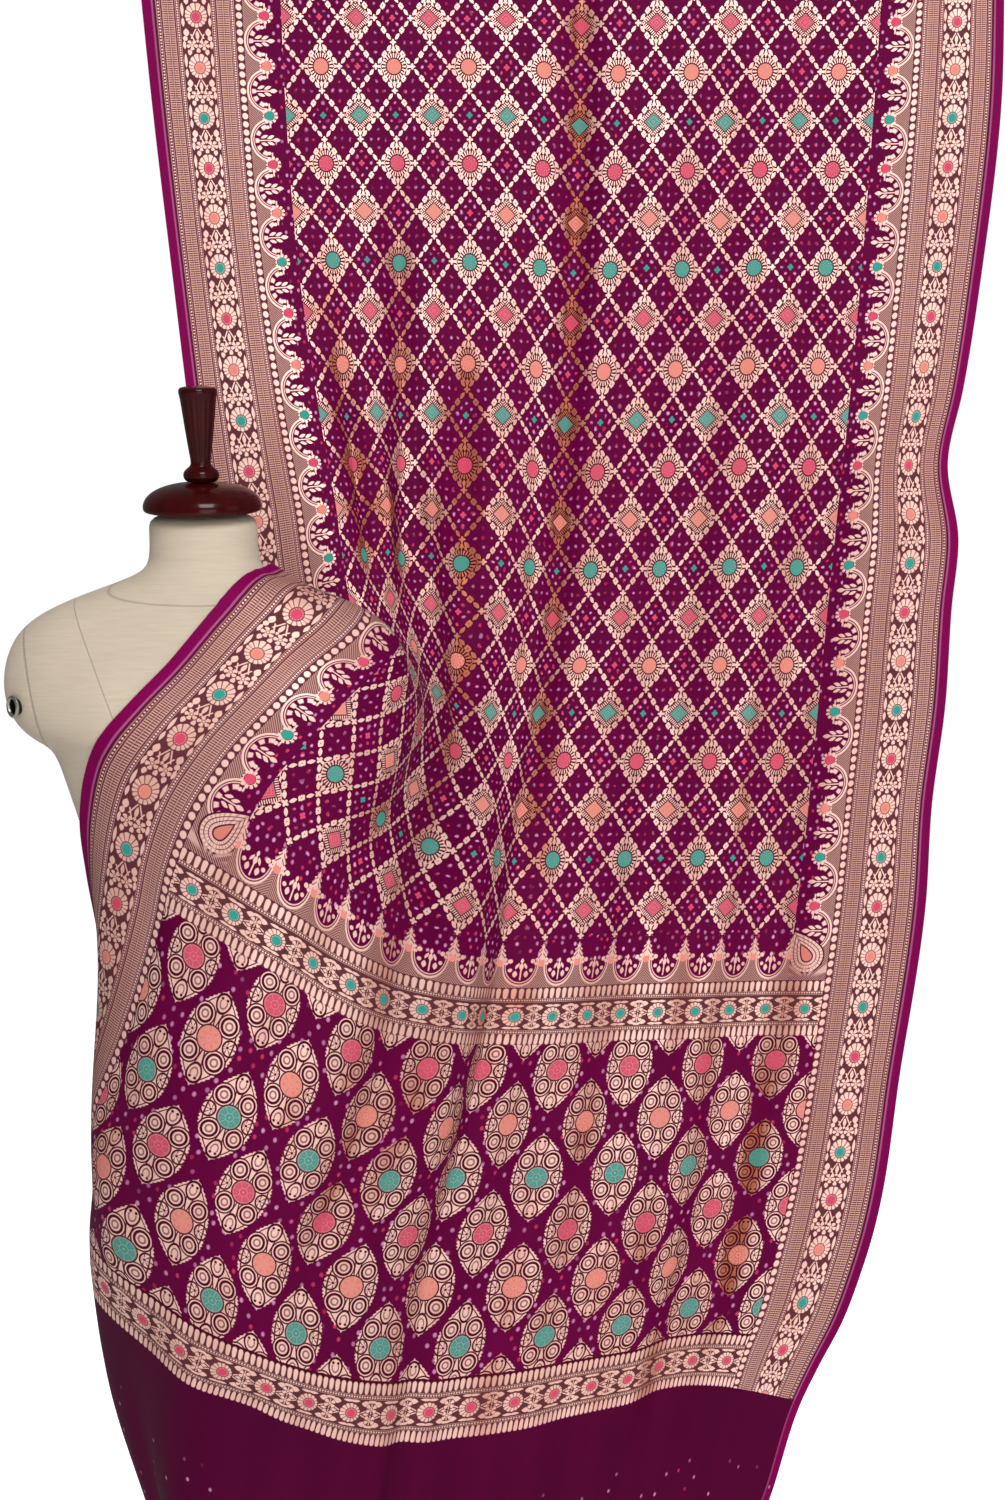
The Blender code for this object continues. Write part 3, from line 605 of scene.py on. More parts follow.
def outside(value, edge, soft=0.5):
    """1 where the value is over the edge."""
    return sum_node("MULTIPLY_ADD", value, 1.0 / soft, 0.5 - edge / soft, clamp=True)


def stripe(value, middle, half, soft=0.5):
    """1 within half of the middle."""
    return inside(size(value - middle), half, soft)


def leaf(along, across, length, width, soft=0.25):
    """A pointed leaf of that half length and half width, in the same unit."""
    end = along / length
    return inside(sum_node("MULTIPLY_ADD", end, end, size(across) / width), 1.0, soft)


def leaves(along, across, rows):
    """The leaves of a table: (along, across, lean, half length, half width)."""
    made = []
    for place, aside, lean, length, width in rows:
        end, side = along - place, across - aside
        made.append(leaf(end, side + end * lean if lean else side, length, width))
    return either(*made)


def spray(to_tip, to_side, rows):
    """Leaves that slant back from a tip: (to tip, to side, slant, half length, half width)."""
    made = []
    for place, aside, slant, length, width in rows:
        end, side = to_tip - place, to_side - aside
        made.append(leaf(end + side * slant if slant else end, side, length, width))
    return either(*made)


def disc(a, b, half_a, half_b, soft=0.2):
    """An oval of those half sizes."""
    return inside(reach(a / half_a, b / half_b), 1.0, soft)


def buds(along, across, rows, soft=0.2):
    """The buds of a table: (along, across, half length, half width)."""
    return either(*(disc(along - place, across - aside, length, width, soft)
                    for place, aside, length, width in rows))


def rings(reached, rows):
    """The rings of a table: (reach, half width, soft edge)."""
    return either(*(stripe(reached, *ring) for ring in rows))


def either(*masks):
    """The union of masks."""
    made = masks[0]
    for mask in masks[1:]:
        made = high(made, mask)
    return made


def less(mask, hole):
    """A mask with a hole cut in it."""
    return mask * (1.0 - hole)


def pick(flag, if_one, if_zero):
    """if_one where the flag is 1, if_zero where it is 0."""
    return (if_one - if_zero) * flag + if_zero


# ---- shared patterns, each built once as a node group ---------------------------------------
def new_group(name, inputs, outputs):
    """An empty node group. Inputs are (name, kind, default), outputs are (name, kind)."""
    kinds = {"value": "NodeSocketFloat", "vector": "NodeSocketVector",
             "colour": "NodeSocketColor"}
    tree = bpy.data.node_groups.new(name, "ShaderNodeTree")
    for label, kind, default in inputs:
        made = tree.interface.new_socket(label, in_out="INPUT", socket_type=kinds[kind])
        if default is not None:
            made.default_value = default
    for label, kind in outputs:
        tree.interface.new_socket(label, in_out="OUTPUT", socket_type=kinds[kind])
    return tree, tree.nodes.new("NodeGroupInput"), tree.nodes.new("NodeGroupOutput")


def use_group(tree, name, **values):
    """A node that uses a group, with terms, sockets or plain values on its inputs."""
    node = tree.nodes.new("ShaderNodeGroup")
    node.node_tree = bpy.data.node_groups[name]
    for label, value in values.items():
        socket = node.inputs[label.replace("_", " ")]
        if isinstance(value, Term):
            tree.links.new(value.socket, socket)
        elif isinstance(value, bpy.types.NodeSocket):
            tree.links.new(value, socket)
        else:
            socket.default_value = value
    return node


def terms_of(node, count):
    """The first outputs of a node, as terms."""
    return [Term(node.outputs[k]) for k in range(count)]


def put_out(tree, made, *terms):
    """Link terms to a group's outputs, in their order."""
    for term, socket in zip(terms, made.inputs):
        tree.links.new(term.socket, socket)


def chances(tree, chance, first, second):
    """Three numbers by chance, from 0 to 1, for each pair of a noise node's two places."""
    cell = tree.nodes.new("ShaderNodeCombineXYZ")
    tree.links.new(first.socket, cell.inputs[0])
    tree.links.new(second.socket, cell.inputs[1])
    tree.links.new(cell.outputs[0], chance.inputs["Vector"])
    parts = tree.nodes.new("ShaderNodeSeparateColor")
    tree.links.new(chance.outputs["Color"], parts.inputs[0])
    return terms_of(parts, 3)


def parts_of(tree, vector):
    """The three parts of a vector, as terms."""
    apart = tree.nodes.new("ShaderNodeSeparateXYZ")
    tree.links.new(vector, apart.inputs[0])
    return terms_of(apart, 3)


def noise(tree, place, scale, detail=2.0, stretch=None):
    """Soft noise of a place; stretch squeezes it along each axis."""
    if stretch is not None:
        mapping = tree.nodes.new("ShaderNodeMapping")
        mapping.inputs["Scale"].default_value = stretch
        tree.links.new(place, mapping.inputs["Vector"])
        place = mapping.outputs[0]
    node = tree.nodes.new("ShaderNodeTexNoise")
    node.inputs["Scale"].default_value = scale
    node.inputs["Detail"].default_value = detail
    tree.links.new(place, node.inputs["Vector"])
    return Term(node.outputs["Fac"])


def mixed(tree, share, one, two):
    """Colour mixed from one (share 0) to two (share 1)."""
    node = tree.nodes.new("ShaderNodeMix")
    node.data_type = "RGBA"
    for socket, value in ((node.inputs[0], share), (node.inputs[6], one), (node.inputs[7], two)):
        if isinstance(value, Term):
            value = value.socket
        if isinstance(value, bpy.types.NodeSocket):
            tree.links.new(value, socket)
        elif isinstance(value, float):
            socket.default_value = value
        else:
            socket.default_value = (*value, 1.0)
    return node.outputs[2]


def shaded(tree, colour, shade):
    """A colour made darker or lighter by a term."""
    grey = tree.nodes.new("ShaderNodeCombineColor")
    for socket in grey.inputs[:3]:
        tree.links.new(shade.socket, socket)
    node = tree.nodes.new("ShaderNodeMix")
    node.data_type = "RGBA"
    node.blend_type = "MULTIPLY"
    node.inputs[0].default_value = 1.0
    tree.links.new(colour, node.inputs[6])
    tree.links.new(grey.outputs[0], node.inputs[7])
    return node.outputs[2]


def build_flower_group():
    """A woven flower: petals round a coloured heart. Sizes are in mm."""
    tree, given, made = new_group(
        "woven flower",
        (("Right", "value", 0.0), ("Up", "value", 0.0), ("Radius", "value", 10.0),
         ("Heart", "value", 4.0), ("Petals", "value", 12.0)),
        (("Petals", "value"), ("Heart", "value")))
    right, up, radius, heart, petals = terms_of(given, 5)
    from_middle = reach(right, up)
    from_heart = from_middle - heart
    lobes = wave(sum_node("ARCTAN2", up, right) * petals)
    rim = inside(from_middle - radius - lobes * 0.5, 0.0, 0.6)
    gaps = either(outside(lobes, -0.55), inside(from_heart, 1.4))
    put_out(tree, made, less(rim * gaps, inside(from_heart, 0.7)), inside(from_heart, 0.0, 0.6))


def build_dotted_line_group():
    """A line of small woven dots between two fine threads, sizes in mm."""
    tree, given, made = new_group(
        "dotted line", (("Along", "value", 0.0), ("Off", "value", 0.0), ("Pitch", "value", 3.2)),
        (("Zari", "value"),))
    along, off, pitch = terms_of(given, 3)
    dot = inside(reach(from_nearest(along, pitch), off), 1.05)
    threads = stripe(size(off), 2.1, 0.3, 0.4) * 0.6
    put_out(tree, made, either(dot, threads))


def build_guard_group():
    """A close guard band: two ladders of rungs side by side."""
    tree, given, made = new_group(
        "guard band", (("Along", "value", 0.0), ("Off", "value", 0.0), ("Half", "value", 7.0)),
        (("Guard", "value"),))
    along, off, half = terms_of(given, 3)
    apart = size(off)
    rungs = outside(lines_of(along, 2.9), -0.2, 0.6)
    uprights = either(inside(apart, 0.4, 0.4), stripe(apart - half, -0.7, 0.4, 0.4))
    gap = stripe(apart, 1.2, 0.3, 0.4) * 0.6
    ladders = less(either(rungs * 0.95, uprights * 0.75), gap)
    put_out(tree, made, inside(apart - half, 0.0, 0.6) * ladders)


def build_drops_group():
    """A row of upright drops: pitch, half height and half width in mm."""
    tree, given, made = new_group(
        "row of drops",
        (("Along", "value", 0.0), ("Off", "value", 0.0), ("Pitch", "value", 7.0),
         ("Half", "value", 6.0), ("Width", "value", 2.3)), (("Zari", "value"),))
    along, off, pitch, half, wide = terms_of(given, 5)
    end = off / half
    narrowed = wide * sum_node("MULTIPLY_ADD", end, -0.18, 1.0)
    put_out(tree, made, inside(reach(from_nearest(along, pitch) / narrowed, end * end), 1.0, 0.3))


def build_vine_group():
    """A flowering vine. Along and Off run from a rosette of half sizes Length and Width, Foot
    is the way from the rosette's foot to the small flowers, and Bloom is the way from them."""
    tree, given, made = new_group(
        "vine",
        (("Along", "value", 0.0), ("Off", "value", 0.0), ("Foot", "value", 0.0),
         ("Bloom", "value", 0.0), ("Length", "value", 16.0), ("Width", "value", 12.5),
         ("Heart", "value", 0.36)),
        (("Zari", "value"), ("Heart", "value")))
    along, off, foot, bloom, length, width, heart = terms_of(given, 7)
    apart = size(off)
    rim = reach(along / length, off / width)
    low_along = along - length * 0.14
    heart_rim = reach(low_along / length, off / width) / heart
    rays = wave(sum_node("ARCTAN2", off, low_along) * ROSETTE_PETALS)
    petals = inside(rim - rays * 0.02, 0.95, 0.06) * outside(rays, -0.80)
    petals = less(petals, stripe(heart_rim, 1.12, 0.1, 0.12))
    stems = either(*(stripe(apart - foot * lean, start, VINE_STEM_HALF)
                     * stripe(foot, middle, run, 0.6) for lean, start, middle, run in VINE_STEMS))
    fill = either(stems, leaves(foot, apart, VINE_FOOT_LEAVES), buds(foot, apart, VINE_FOOT_BUDS),
                  leaves(bloom, apart, VINE_BLOOM_LEAVES))
    from_flower = apart - SMALL_FLOWER_OFF
    small = use_group(tree, "woven flower", Right=bloom, Up=from_flower,
                      Radius=SMALL_FLOWER_RADIUS, Heart=1.4, Petals=5.0)
    near_flower = inside(reach(bloom, from_flower), SMALL_FLOWER_RADIUS + 0.9)
    fill = either(less(fill, near_flower), Term(small.outputs["Petals"]),
                  Term(small.outputs["Heart"]))
    fill = less(fill, inside(rim, 1.06, 0.05)) * inside(apart, VINE_HALF)
    put_out(tree, made, either(petals, fill), inside(heart_rim + rays * 0.12, 1.0, 0.25))


def build_knots_group():
    """Tie-dyed dots, one in each cell of a staggered grid, a little out of place."""
    tree, given, made = new_group(
        "tied dots",
        (("Right", "value", 0.0), ("Down", "value", 0.0), ("Pitch", "value", 10.0),
         ("Size", "value", 1.5), ("Missing", "value", 0.3)), (("Dot", "value"), ("Red", "value")))
    right, down, pitch, dot_size, missing = terms_of(given, 5)
    line = down / pitch
    line_number = nearest(line)
    column = right / pitch + line_number * 0.5
    column_number = nearest(column)
    chance = tree.nodes.new("ShaderNodeTexWhiteNoise")
    chance.noise_dimensions = "3D"
    first, second, third = chances(tree, chance, line_number, column_number)
    aside = (column - column_number + (first - 0.5) * DOT_STRAY) * pitch
    under = (line - line_number + (second - 0.5) * DOT_STRAY) * pitch
    shape = inside(reach(aside / dot_size, under / (dot_size * 1.35)), 1.0, 0.7)
    there = outside(third - missing, 0.0, 0.05)
    put_out(tree, made, shape * there * (first * 0.55 + 0.45), outside(second, 0.72, 0.1))


def build_weave_group(colours):
    """What every part of the cloth shares: thread colours, sheen of the zari and relief, and the
    painted shade colour of the zari and guard bands on turned slopes.
    """
    values = ("Zari", "Guard", "Teal", "Pink", "Peach", "Dot", "Red")
    tree, given, made = new_group(
        "woven finish",
        (("Place", "vector", None), ("Turned", "value", 0.0), ("Ground", "colour", None),
         *((label, "value", 0.0) for label in values)),
        (("Colour", "colour"), ("Roughness", "value"), ("Metallic", "value"),
         ("Height", "value")))
    take = {s.name: s for s in given.outputs}
    mask = {label: Term(take[label]) for label in values}
    streaks = noise(tree, take["Place"], 1.0, 2.0, STREAK_STRETCH)
    grain = noise(tree, take["Place"], 520.0, 1.0)
    # painted shade: zari and guard bands take their shaded colour on turned slopes and in random
    # streaks
    shade_and_streaks = sum_node("MULTIPLY_ADD", streaks, 1.6, Term(take["Turned"]) - 0.80, clamp=True)
    metal = mixed(tree, shade_and_streaks, colours.zari, colours.shaded_zari)
    guard_in_shade = tuple(plain + (shaded_zari - plain) * GUARD_SHADE
                       for plain, shaded_zari in zip(colours.guard, colours.shaded_zari))
    shade = sum_node("MULTIPLY_ADD", streaks, 0.5, 0.72) + (grain - 0.5) * 0.25
    colour = shaded(tree, take["Ground"], shade)
    colour = mixed(tree, mask["Guard"], colour, mixed(tree, shade_and_streaks, colours.guard, guard_in_shade))
    colour = mixed(tree, mask["Zari"], colour, metal)
    for label, thread in (("Teal", colours.teal), ("Pink", colours.pink),
                          ("Peach", colours.peach)):
        colour = mixed(tree, mask[label], colour, thread)
    knot = mixed(tree, mask["Red"], colours.knots, colours.red_knots)
    colour = mixed(tree, less(mask["Dot"], mask["Zari"]), colour, knot)
    metallic = high(mask["Zari"], mask["Guard"] * 0.8)
    bright = either(mask["Teal"], mask["Pink"], mask["Peach"])
    tree.links.new(colour, made.inputs["Colour"])
    for label, term in (
            ("Roughness", sum_node("MULTIPLY_ADD", metallic, -0.24, 0.66)),
            ("Metallic", less(metallic * 0.22, bright)),
            ("Height", metallic * 0.22 + bright * 0.2 + grain * 0.12 + mask["Dot"] * 0.15)):
        tree.links.new(term.socket, made.inputs[label])


# ---- the patterns of the cloth, zone by zone --------------------------------------------------
def border_distance(across):
    """mm from the net's edge outwards, the same on both sides."""
    return size(across - CLOTH_WIDTH / 2) - (CLOTH_WIDTH / 2 - BAND_WIDTH)


def thread_shares(row_number):
    """1 where a row's thread has that colour. The colours follow each other row by row."""
    third = turn_over(row_number, COLOUR_CYCLE)
    return {"Pink": inside(third, 0.5, 0.2), "Peach": stripe(third, 1.0, 0.5, 0.2),
            "Teal": outside(third, 1.5, 0.2)}


def by_row_colour(row_number, mask):
    """A mask shared out to the three thread colours."""
    return {name: mask * share for name, share in thread_shares(row_number).items()}


def dotted_lines(tree, along, off, rows):
    """The dotted lines of a table: (place, pitch)."""
    return either(*(Term(use_group(tree, "dotted line", Along=along, Off=off - place,
                                   Pitch=pitch).outputs[0]) for place, pitch in rows))


def drops(tree, along, off, pitch, half, width):
    """A row of upright drops."""
    return Term(use_group(tree, "row of drops", Along=along, Off=off, Pitch=pitch, Half=half,
                          Width=width).outputs[0])


def tied_dots(tree, across, row, pitch, dot_size, missing):
    """Loose tie-dyed dots, and which of them are red."""
    made = use_group(tree, "tied dots", Right=across, Down=row * ROW_PITCH, Pitch=pitch,
                     Size=dot_size, Missing=missing)
    return Term(made.outputs["Dot"]), Term(made.outputs["Red"])


def vine_across(tree, aside, off, half_band, length, width):
    """Zari and hearts of the vine in a border that runs across the cloth."""
    away = size(aside)
    vine = use_group(tree, "vine", Along=aside, Off=off, Foot=away - length,
                     Bloom=away - NET_PITCH / 2, Length=length, Width=width, Heart=0.46)
    return (Term(vine.outputs[name]) * half_band for name in ("Zari", "Heart"))


def selvage_strip(out):
    """The bright strip along a selvage."""
    return outside(out, SELVAGE_LINE, 1.0)


def band_pattern(tree, across, row):
    """Outer side border: beads, guard bands, vine and the selvage strip."""
    out = border_distance(across)
    down = row * ROW_PITCH
    number = nearest(row)
    along = (row - number) * ROW_PITCH
    from_bead = out - BEAD_LINE
    bead = disc(from_nearest(down, ROW_PITCH / BEADS_PER_ROW) + from_bead * 0.12, from_bead,
                *BEAD_HALF, 0.25)
    past = sum_node("FLOORED_MODULO", along, ROW_PITCH)
    vine = use_group(tree, "vine", Along=along, Off=out - BORDER_VINE_LINE, Foot=past - 17.0,
                     Bloom=along + 27.0, Length=16.4, Width=13.2, Heart=0.42)
    within = stripe(out, BORDER_VINE_LINE, BORDER_VINE_HALF)
    guard = either(*(Term(use_group(tree, "guard band", Along=down, Off=out - place,
                                    Half=half).outputs[0]) for place, half in GUARD_BANDS))
    masks = {"Zari": either(bead, dotted_lines(tree, down, out, BORDER_DOT_LINES),
                            Term(vine.outputs["Zari"]) * within),
             "Guard": either(guard, stripe(out, BAND_MIDDLE, 50.0) * CLOSE_GROUND),
             "Selvage": selvage_strip(out), "Pale": stripe(out, SELVAGE_THREAD, 1.0, 1.2) * 0.3,
             "Outline": either(within * 0.9, stripe(out, BAND_MIDDLE, 51.0) * 0.6)}
    masks.update(by_row_colour(number, Term(vine.outputs["Heart"]) * within))
    return masks


def scallop_pattern(tree, across, row):
    """Inner side border: arches between rosettes, with a sprig in each, and the mangoes."""
    out = border_distance(across)
    number = nearest(row)
    along = (row - number) * ROW_PITCH
    from_rosette, from_top = out - ROSETTE_LINE, size(along) - ROW_PITCH / 2
    to_arch = reach(from_rosette / ARCH_HALF[0], from_top / ARCH_HALF[1])
    outer_side = outside(out, 20.0, 1.0)
    fan = outside(wave(sum_node("ARCTAN2", from_top, from_rosette) * 11.0), -0.2, 0.6)
    arch = either(rings(to_arch, ARCH_RINGS), stripe(to_arch, *FRILL_RING) * fan) * outer_side
    sprig = either(leaves(out, size(from_top), SPRIG_LEAVES), buds(out, size(from_top), SPRIG_BUDS),
                   stripe(from_top, 0.0, 0.7) * stripe(out, *SPRIG_STEM, 1.0))
    rosette = use_group(tree, "woven flower", Right=from_rosette, Up=along, Radius=10.5,
                        Heart=6.0, Petals=11.0)
    hatch = hatching(out + along)
    behind = outside(to_arch, 1.07, 0.03) * outer_side
    behind = less(behind, inside(reach(from_rosette, along), 9.0))
    zari = either(arch, sprig, Term(rosette.outputs["Petals"]) * inside(out, 30.0, 1.0))
    # under the last arch: close hatching, and the mango in the corner of the net
    past_end = outside(row, NET_END - 0.12 + out * 0.011, 0.02)
    below_end = outside(row, NET_END + 0.35, 0.03)
    mango, mango_zari = mango_shape(out, row)
    mango_gap = inside(mango, MANGO_GAP, 0.03)
    behind = less(either(behind, below_end * hatch), mango_gap)
    zari = less(less(zari, below_end), mango_gap)
    frill_end = below_end * fan * stripe(row, NET_END + 0.72, 0.1, 0.1) * 0.6
    dots, red = tied_dots(tree, out, row, 11.0, 1.6, 0.25)
    masks = {"Zari": either(zari, mango_zari, frill_end),
             "Guard": behind * (hatch * 0.6 + 0.15), "Red": red,
             "Dot": less(less(dots, either(behind, outside(out, 16.0, 1.0))), past_end),
             "Outline": either(behind * 0.6, mango_gap * 0.8)}
    hearts = less(less(Term(rosette.outputs["Heart"]), below_end), mango_gap)
    masks.update(by_row_colour(number, hearts))
    masks["Peach"] = either(masks["Peach"], inside(mango, 0.30, 0.03) * 0.8)
    return masks


def mango_shape(out, row):
    """The mango in the net's corner: how far to its rim, 1 there, and its zari."""
    from_middle, below = out - 20.0, (row - CORNER_ROW) * ROW_PITCH
    inward, upward = MANGO_WAY
    to_tip = from_middle * -inward - below * upward
    to_side = from_middle * upward - below * inward
    rounded = reach(to_tip, to_side) / MANGO_RADIUS
    pointed = size(to_side) / MANGO_RADIUS + sum_node("POWER", high(to_tip, 0.0) / MANGO_TIP, 1.6)
    mango = pick(outside(to_tip, 0.0, 0.1), pointed, rounded)
    ticks = wave(sum_node("ARCTAN2", to_tip, to_side) * 26.0)
    ticked = either(rings(mango, MANGO_RINGS),
                    inside(ticks, -0.3) * stripe(mango, 0.68, 0.32, 0.1) * 0.4)
    heart = inside(mango, MANGO_RINGS[-1][0], 0.03)
    return mango, less(inside(mango, 1.0, 0.04), either(ticked, heart))


def net_pattern(tree, across, row):
    """The field: a leafy diamond net with medallions and dots in its cells."""
    x = (across - BAND_WIDTH) / NET_PITCH
    p, q = x + row, x - row
    p_cell, q_cell = nearest(p), nearest(q)
    a, b = p - p_cell, q - q_cell
    outward, inward = high(size(a), size(b)), low(size(a), size(b))
    right, down = (a + b) * (NET_PITCH / 2), (a - b) * (ROW_PITCH / 2)
    aside, away = size(right), size(down)
    off, along = ((0.5 - share) * run for share, run in zip((outward, inward), NET_LINE_LENGTHS))
    chain = either(leaves(along, off, NET_LEAVES), buds(along, off, NET_BUDS, 0.3),
                   buds(aside, away, CROSSING_BUDS, 0.3))
    p_odd, q_odd = turn_over(p_cell, 2.0), turn_over(q_cell, 2.0)
    medallion, close_dots = (1.0 - p_odd) * (1.0 - q_odd), p_odd * q_odd
    row_number = (p_cell - q_cell) * 0.5
    petals, core, veins = medallion_shapes(right, down, outward, inward,
                                           turn_over(row_number, 2.0))
    dots, red = cell_dots(tree, right, down, p_cell, q_cell, close_dots)
    flower = buds(aside, away, FLOWER_BUDS, 0.4) * close_dots
    hearts = less(core * medallion, veins)
    share = thread_shares(row_number)
    return {"Zari": either(chain, petals * medallion, core * veins * medallion),
            "Dot": less(dots * (1.0 - medallion), flower), "Red": red,
            "Outline": either(medallion * inside(outward, 0.42, 0.02),
                              inside(size(off), 3.4, 1.6) * 0.6),
            "Teal": either(hearts, flower) * share["Teal"],
            "Peach": hearts * share["Peach"],
            "Pink": either(either(hearts, flower) * share["Pink"], flower * share["Peach"])}


def medallion_shapes(right, down, outward, inward, rounded):
    """Petals, core and the core's veins of a medallion, round or square by turns."""
    aside, away = size(right), size(down)
    from_middle, across_corner = reach(right, down * 0.93), aside + away
    angle = sum_node("ARCTAN2", down * 0.8, right)
    rays = outside(pick(rounded, wave(angle * 24.0), lines_of(aside - away, 3.9)), 0.0)
    core_reach = pick(rounded, from_middle / ROUND_CORE, across_corner / SQUARE_CORE)
    sprays = either(spray(away, aside, UPPER_SPRAY), spray(aside, away, SIDE_SPRAY))
    petals = either(stripe(core_reach, *RAY_RING) * rays,
                    less(sprays, inside(core_reach, SPRAY_START, 0.012)),
                    stripe(outward, 0.395, 0.012, 0.012) * outside(inward, 0.1, 0.05))
    mesh = pick(rounded, wave(angle * 9.0) * wave(from_middle * 1.15), lines_of(across_corner, 4.6))
    return petals, inside(core_reach, CORE_EDGE, 0.012), inside(mesh, -0.3, 0.6) * 0.55


def cell_dots(tree, right, down, p_cell, q_cell, close_dots):
    """Tie-dyed dots: five in an open cell, and eight round a small flower in a close one."""
    chance = tree.nodes.new("ShaderNodeTexNoise")
    chance.inputs["Scale"].default_value = 0.11
    chance.inputs["Detail"].default_value = 0.0
    first, second, third = chances(tree, chance, right + p_cell * 31.0, down + q_cell * 17.0)
    loose_x, loose_y = right + (first - 0.5) * 5.0, down + (second - 0.5) * 6.0
    wide_x, wide_y = size(loose_x), size(loose_y)
    out_x, out_y = (pick(close_dots, close, wide)
                    for close, wide in zip(CLOSE_CELL_DOTS, OPEN_CELL_DOTS))
    in_x, in_y = (close_dots * place for place in INNER_DOTS)
    dots = either(*(disc(x, y, *TIED_DOT, 0.8)
                    for x, y in ((loose_x, wide_y - out_y), (wide_x - out_x, loose_y),
                                 (wide_x - in_x, wide_y - in_y))))
    strength = sum_node("MULTIPLY_ADD", third, 2.2, -0.35, clamp=True)
    return dots * strength * pick(close_dots, 1.0, 0.75), outside(first, 0.56, 0.06)


def cross_border_pattern(tree, across, row):
    """Border across the cloth: crown of arches, drops, vine with teal rosettes, drops."""
    aside = from_nearest(across - (CLOTH_WIDTH + NET_PITCH) / 2, NET_PITCH)
    away = size(aside)
    down = (row - CROSS_VINE_ROW) * ROW_PITCH
    vine, hearts = vine_across(tree, aside, down * CROSS_VINE_SQUEEZE,
                               stripe(down, 0.0, CROSS_VINE_HALF, 0.6), *CROSS_VINE)
    upper = drops(tree, across - 4.0, down + 29.5, NET_PITCH / 6, 6.6, 2.7)
    lower = drops(tree, across - 4.0, 28.2 - down, NET_PITCH / 6.5, 6.8, 2.5)
    # the crown: bowls that hang between small flowers, each flower under a fir
    bowl = down + CROWN_DROP
    to_arch = reach(away / BOWL_HALF[0], bowl / BOWL_HALF[1])
    arch = rings(to_arch, BOWL_RINGS) * outside(bowl, -3.0, 0.8)
    filled = outside(to_arch, 1.06, 0.03) * outside(bowl, 1.0, 1.0) * inside(down, -37.0, 0.6)
    fir_x = NET_PITCH / 2 - away
    flower = use_group(tree, "woven flower", Right=fir_x, Up=bowl, Radius=9.5, Heart=4.4,
                       Petals=9.0)
    branch = (bowl + 27.0) * 0.34 + lines_of(bowl, FIR_PITCH) * 1.1 + 0.6
    needles = inside(lines_of(fir_x * 1.3 - bowl, FIR_PITCH), -0.25) * 0.8
    fir = less(inside(size(fir_x) - branch, 0.0) * stripe(bowl, -14.5, 12.0),
               needles * outside(fir_x, 0.9))
    sprig = either(leaves(bowl, away, CROWN_LEAVES), buds(bowl, away, CROWN_BUDS),
                   stripe(aside, 0.0, 0.8) * stripe(bowl, *CROWN_STEM, 1.0))
    zari = either(vine, dotted_lines(tree, across, down, CROSS_DOT_LINES), upper, lower, arch, fir,
                  buds(bowl, fir_x, FIR_BUDS), sprig,
                  Term(flower.outputs["Petals"]) * inside(bowl, 2.0, 1.5))
    dots, red = tied_dots(tree, across, row, 11.0, 1.7, 0.3)
    close = either(filled * (hatching(away + down) * 0.6 + 0.15),
                   stripe(down, 0.0, 36.0, 0.6) * CLOSE_GROUND)
    return {"Zari": zari, "Guard": close, "Teal": hearts, "Peach": Term(flower.outputs["Heart"]),
            "Outline": either(filled * 0.6, stripe(down, 0.0, 37.0)),
            "Dot": dots * inside(bowl, -2.0, 2.0), "Red": red}


def pallu_pattern(tree, across, row):
    """The pallu: staggered almonds on dotted ground."""
    right, down, fill, number = nearest_almond(across, row)
    aside, away = size(right), size(down)
    body = inside(fill + lines_of(down, 4.0) * 0.022, 1.0, 0.03)
    flower, veins = almond_flower(right, down)
    dark = less(almond_gaps(aside, away, fill), inside(reach(right, down * 0.96), 13.6))
    dark = either(dark, stripe(reach(right, down * 0.96), 13.1, 0.8))
    dots, red = tied_dots(tree, across, row, 13.5, 1.9, 0.35)
    masks = {"Zari": either(less(less(body, dark), flower), flower * veins * 0.6),
             "Outline": body, "Dot": less(dots * 0.8, body), "Red": red}
    masks.update(by_row_colour(number, less(flower * body, veins * 0.6)))
    return masks


def nearest_almond(across, row):
    """Place in the nearest almond in mm, its reach, 1 at its rim, and its row's number."""
    x = (across - BAND_WIDTH) / (2 * NET_PITCH)
    y = (row - ALMOND_ROW) / ALMOND_PITCH
    found = []
    for shift in (0.0, 1.0):
        x_middle = nearest(x - shift / 2) + shift / 2
        y_middle = nearest((y - shift) * 0.5) * 2.0 + shift
        right = (x - x_middle) * (2 * NET_PITCH)
        down = (y - y_middle) * (ALMOND_PITCH * ROW_PITCH)
        end = sum_node("POWER", size(down) / ALMOND_HALF[1], ALMOND_CURVE)
        found.append((right, down, end + size(right) / ALMOND_HALF[0], y_middle))
    chosen = outside(found[1][2] - found[0][2], 0.0, 0.0001)
    return [pick(chosen, even, odd) for even, odd in zip(*found)]


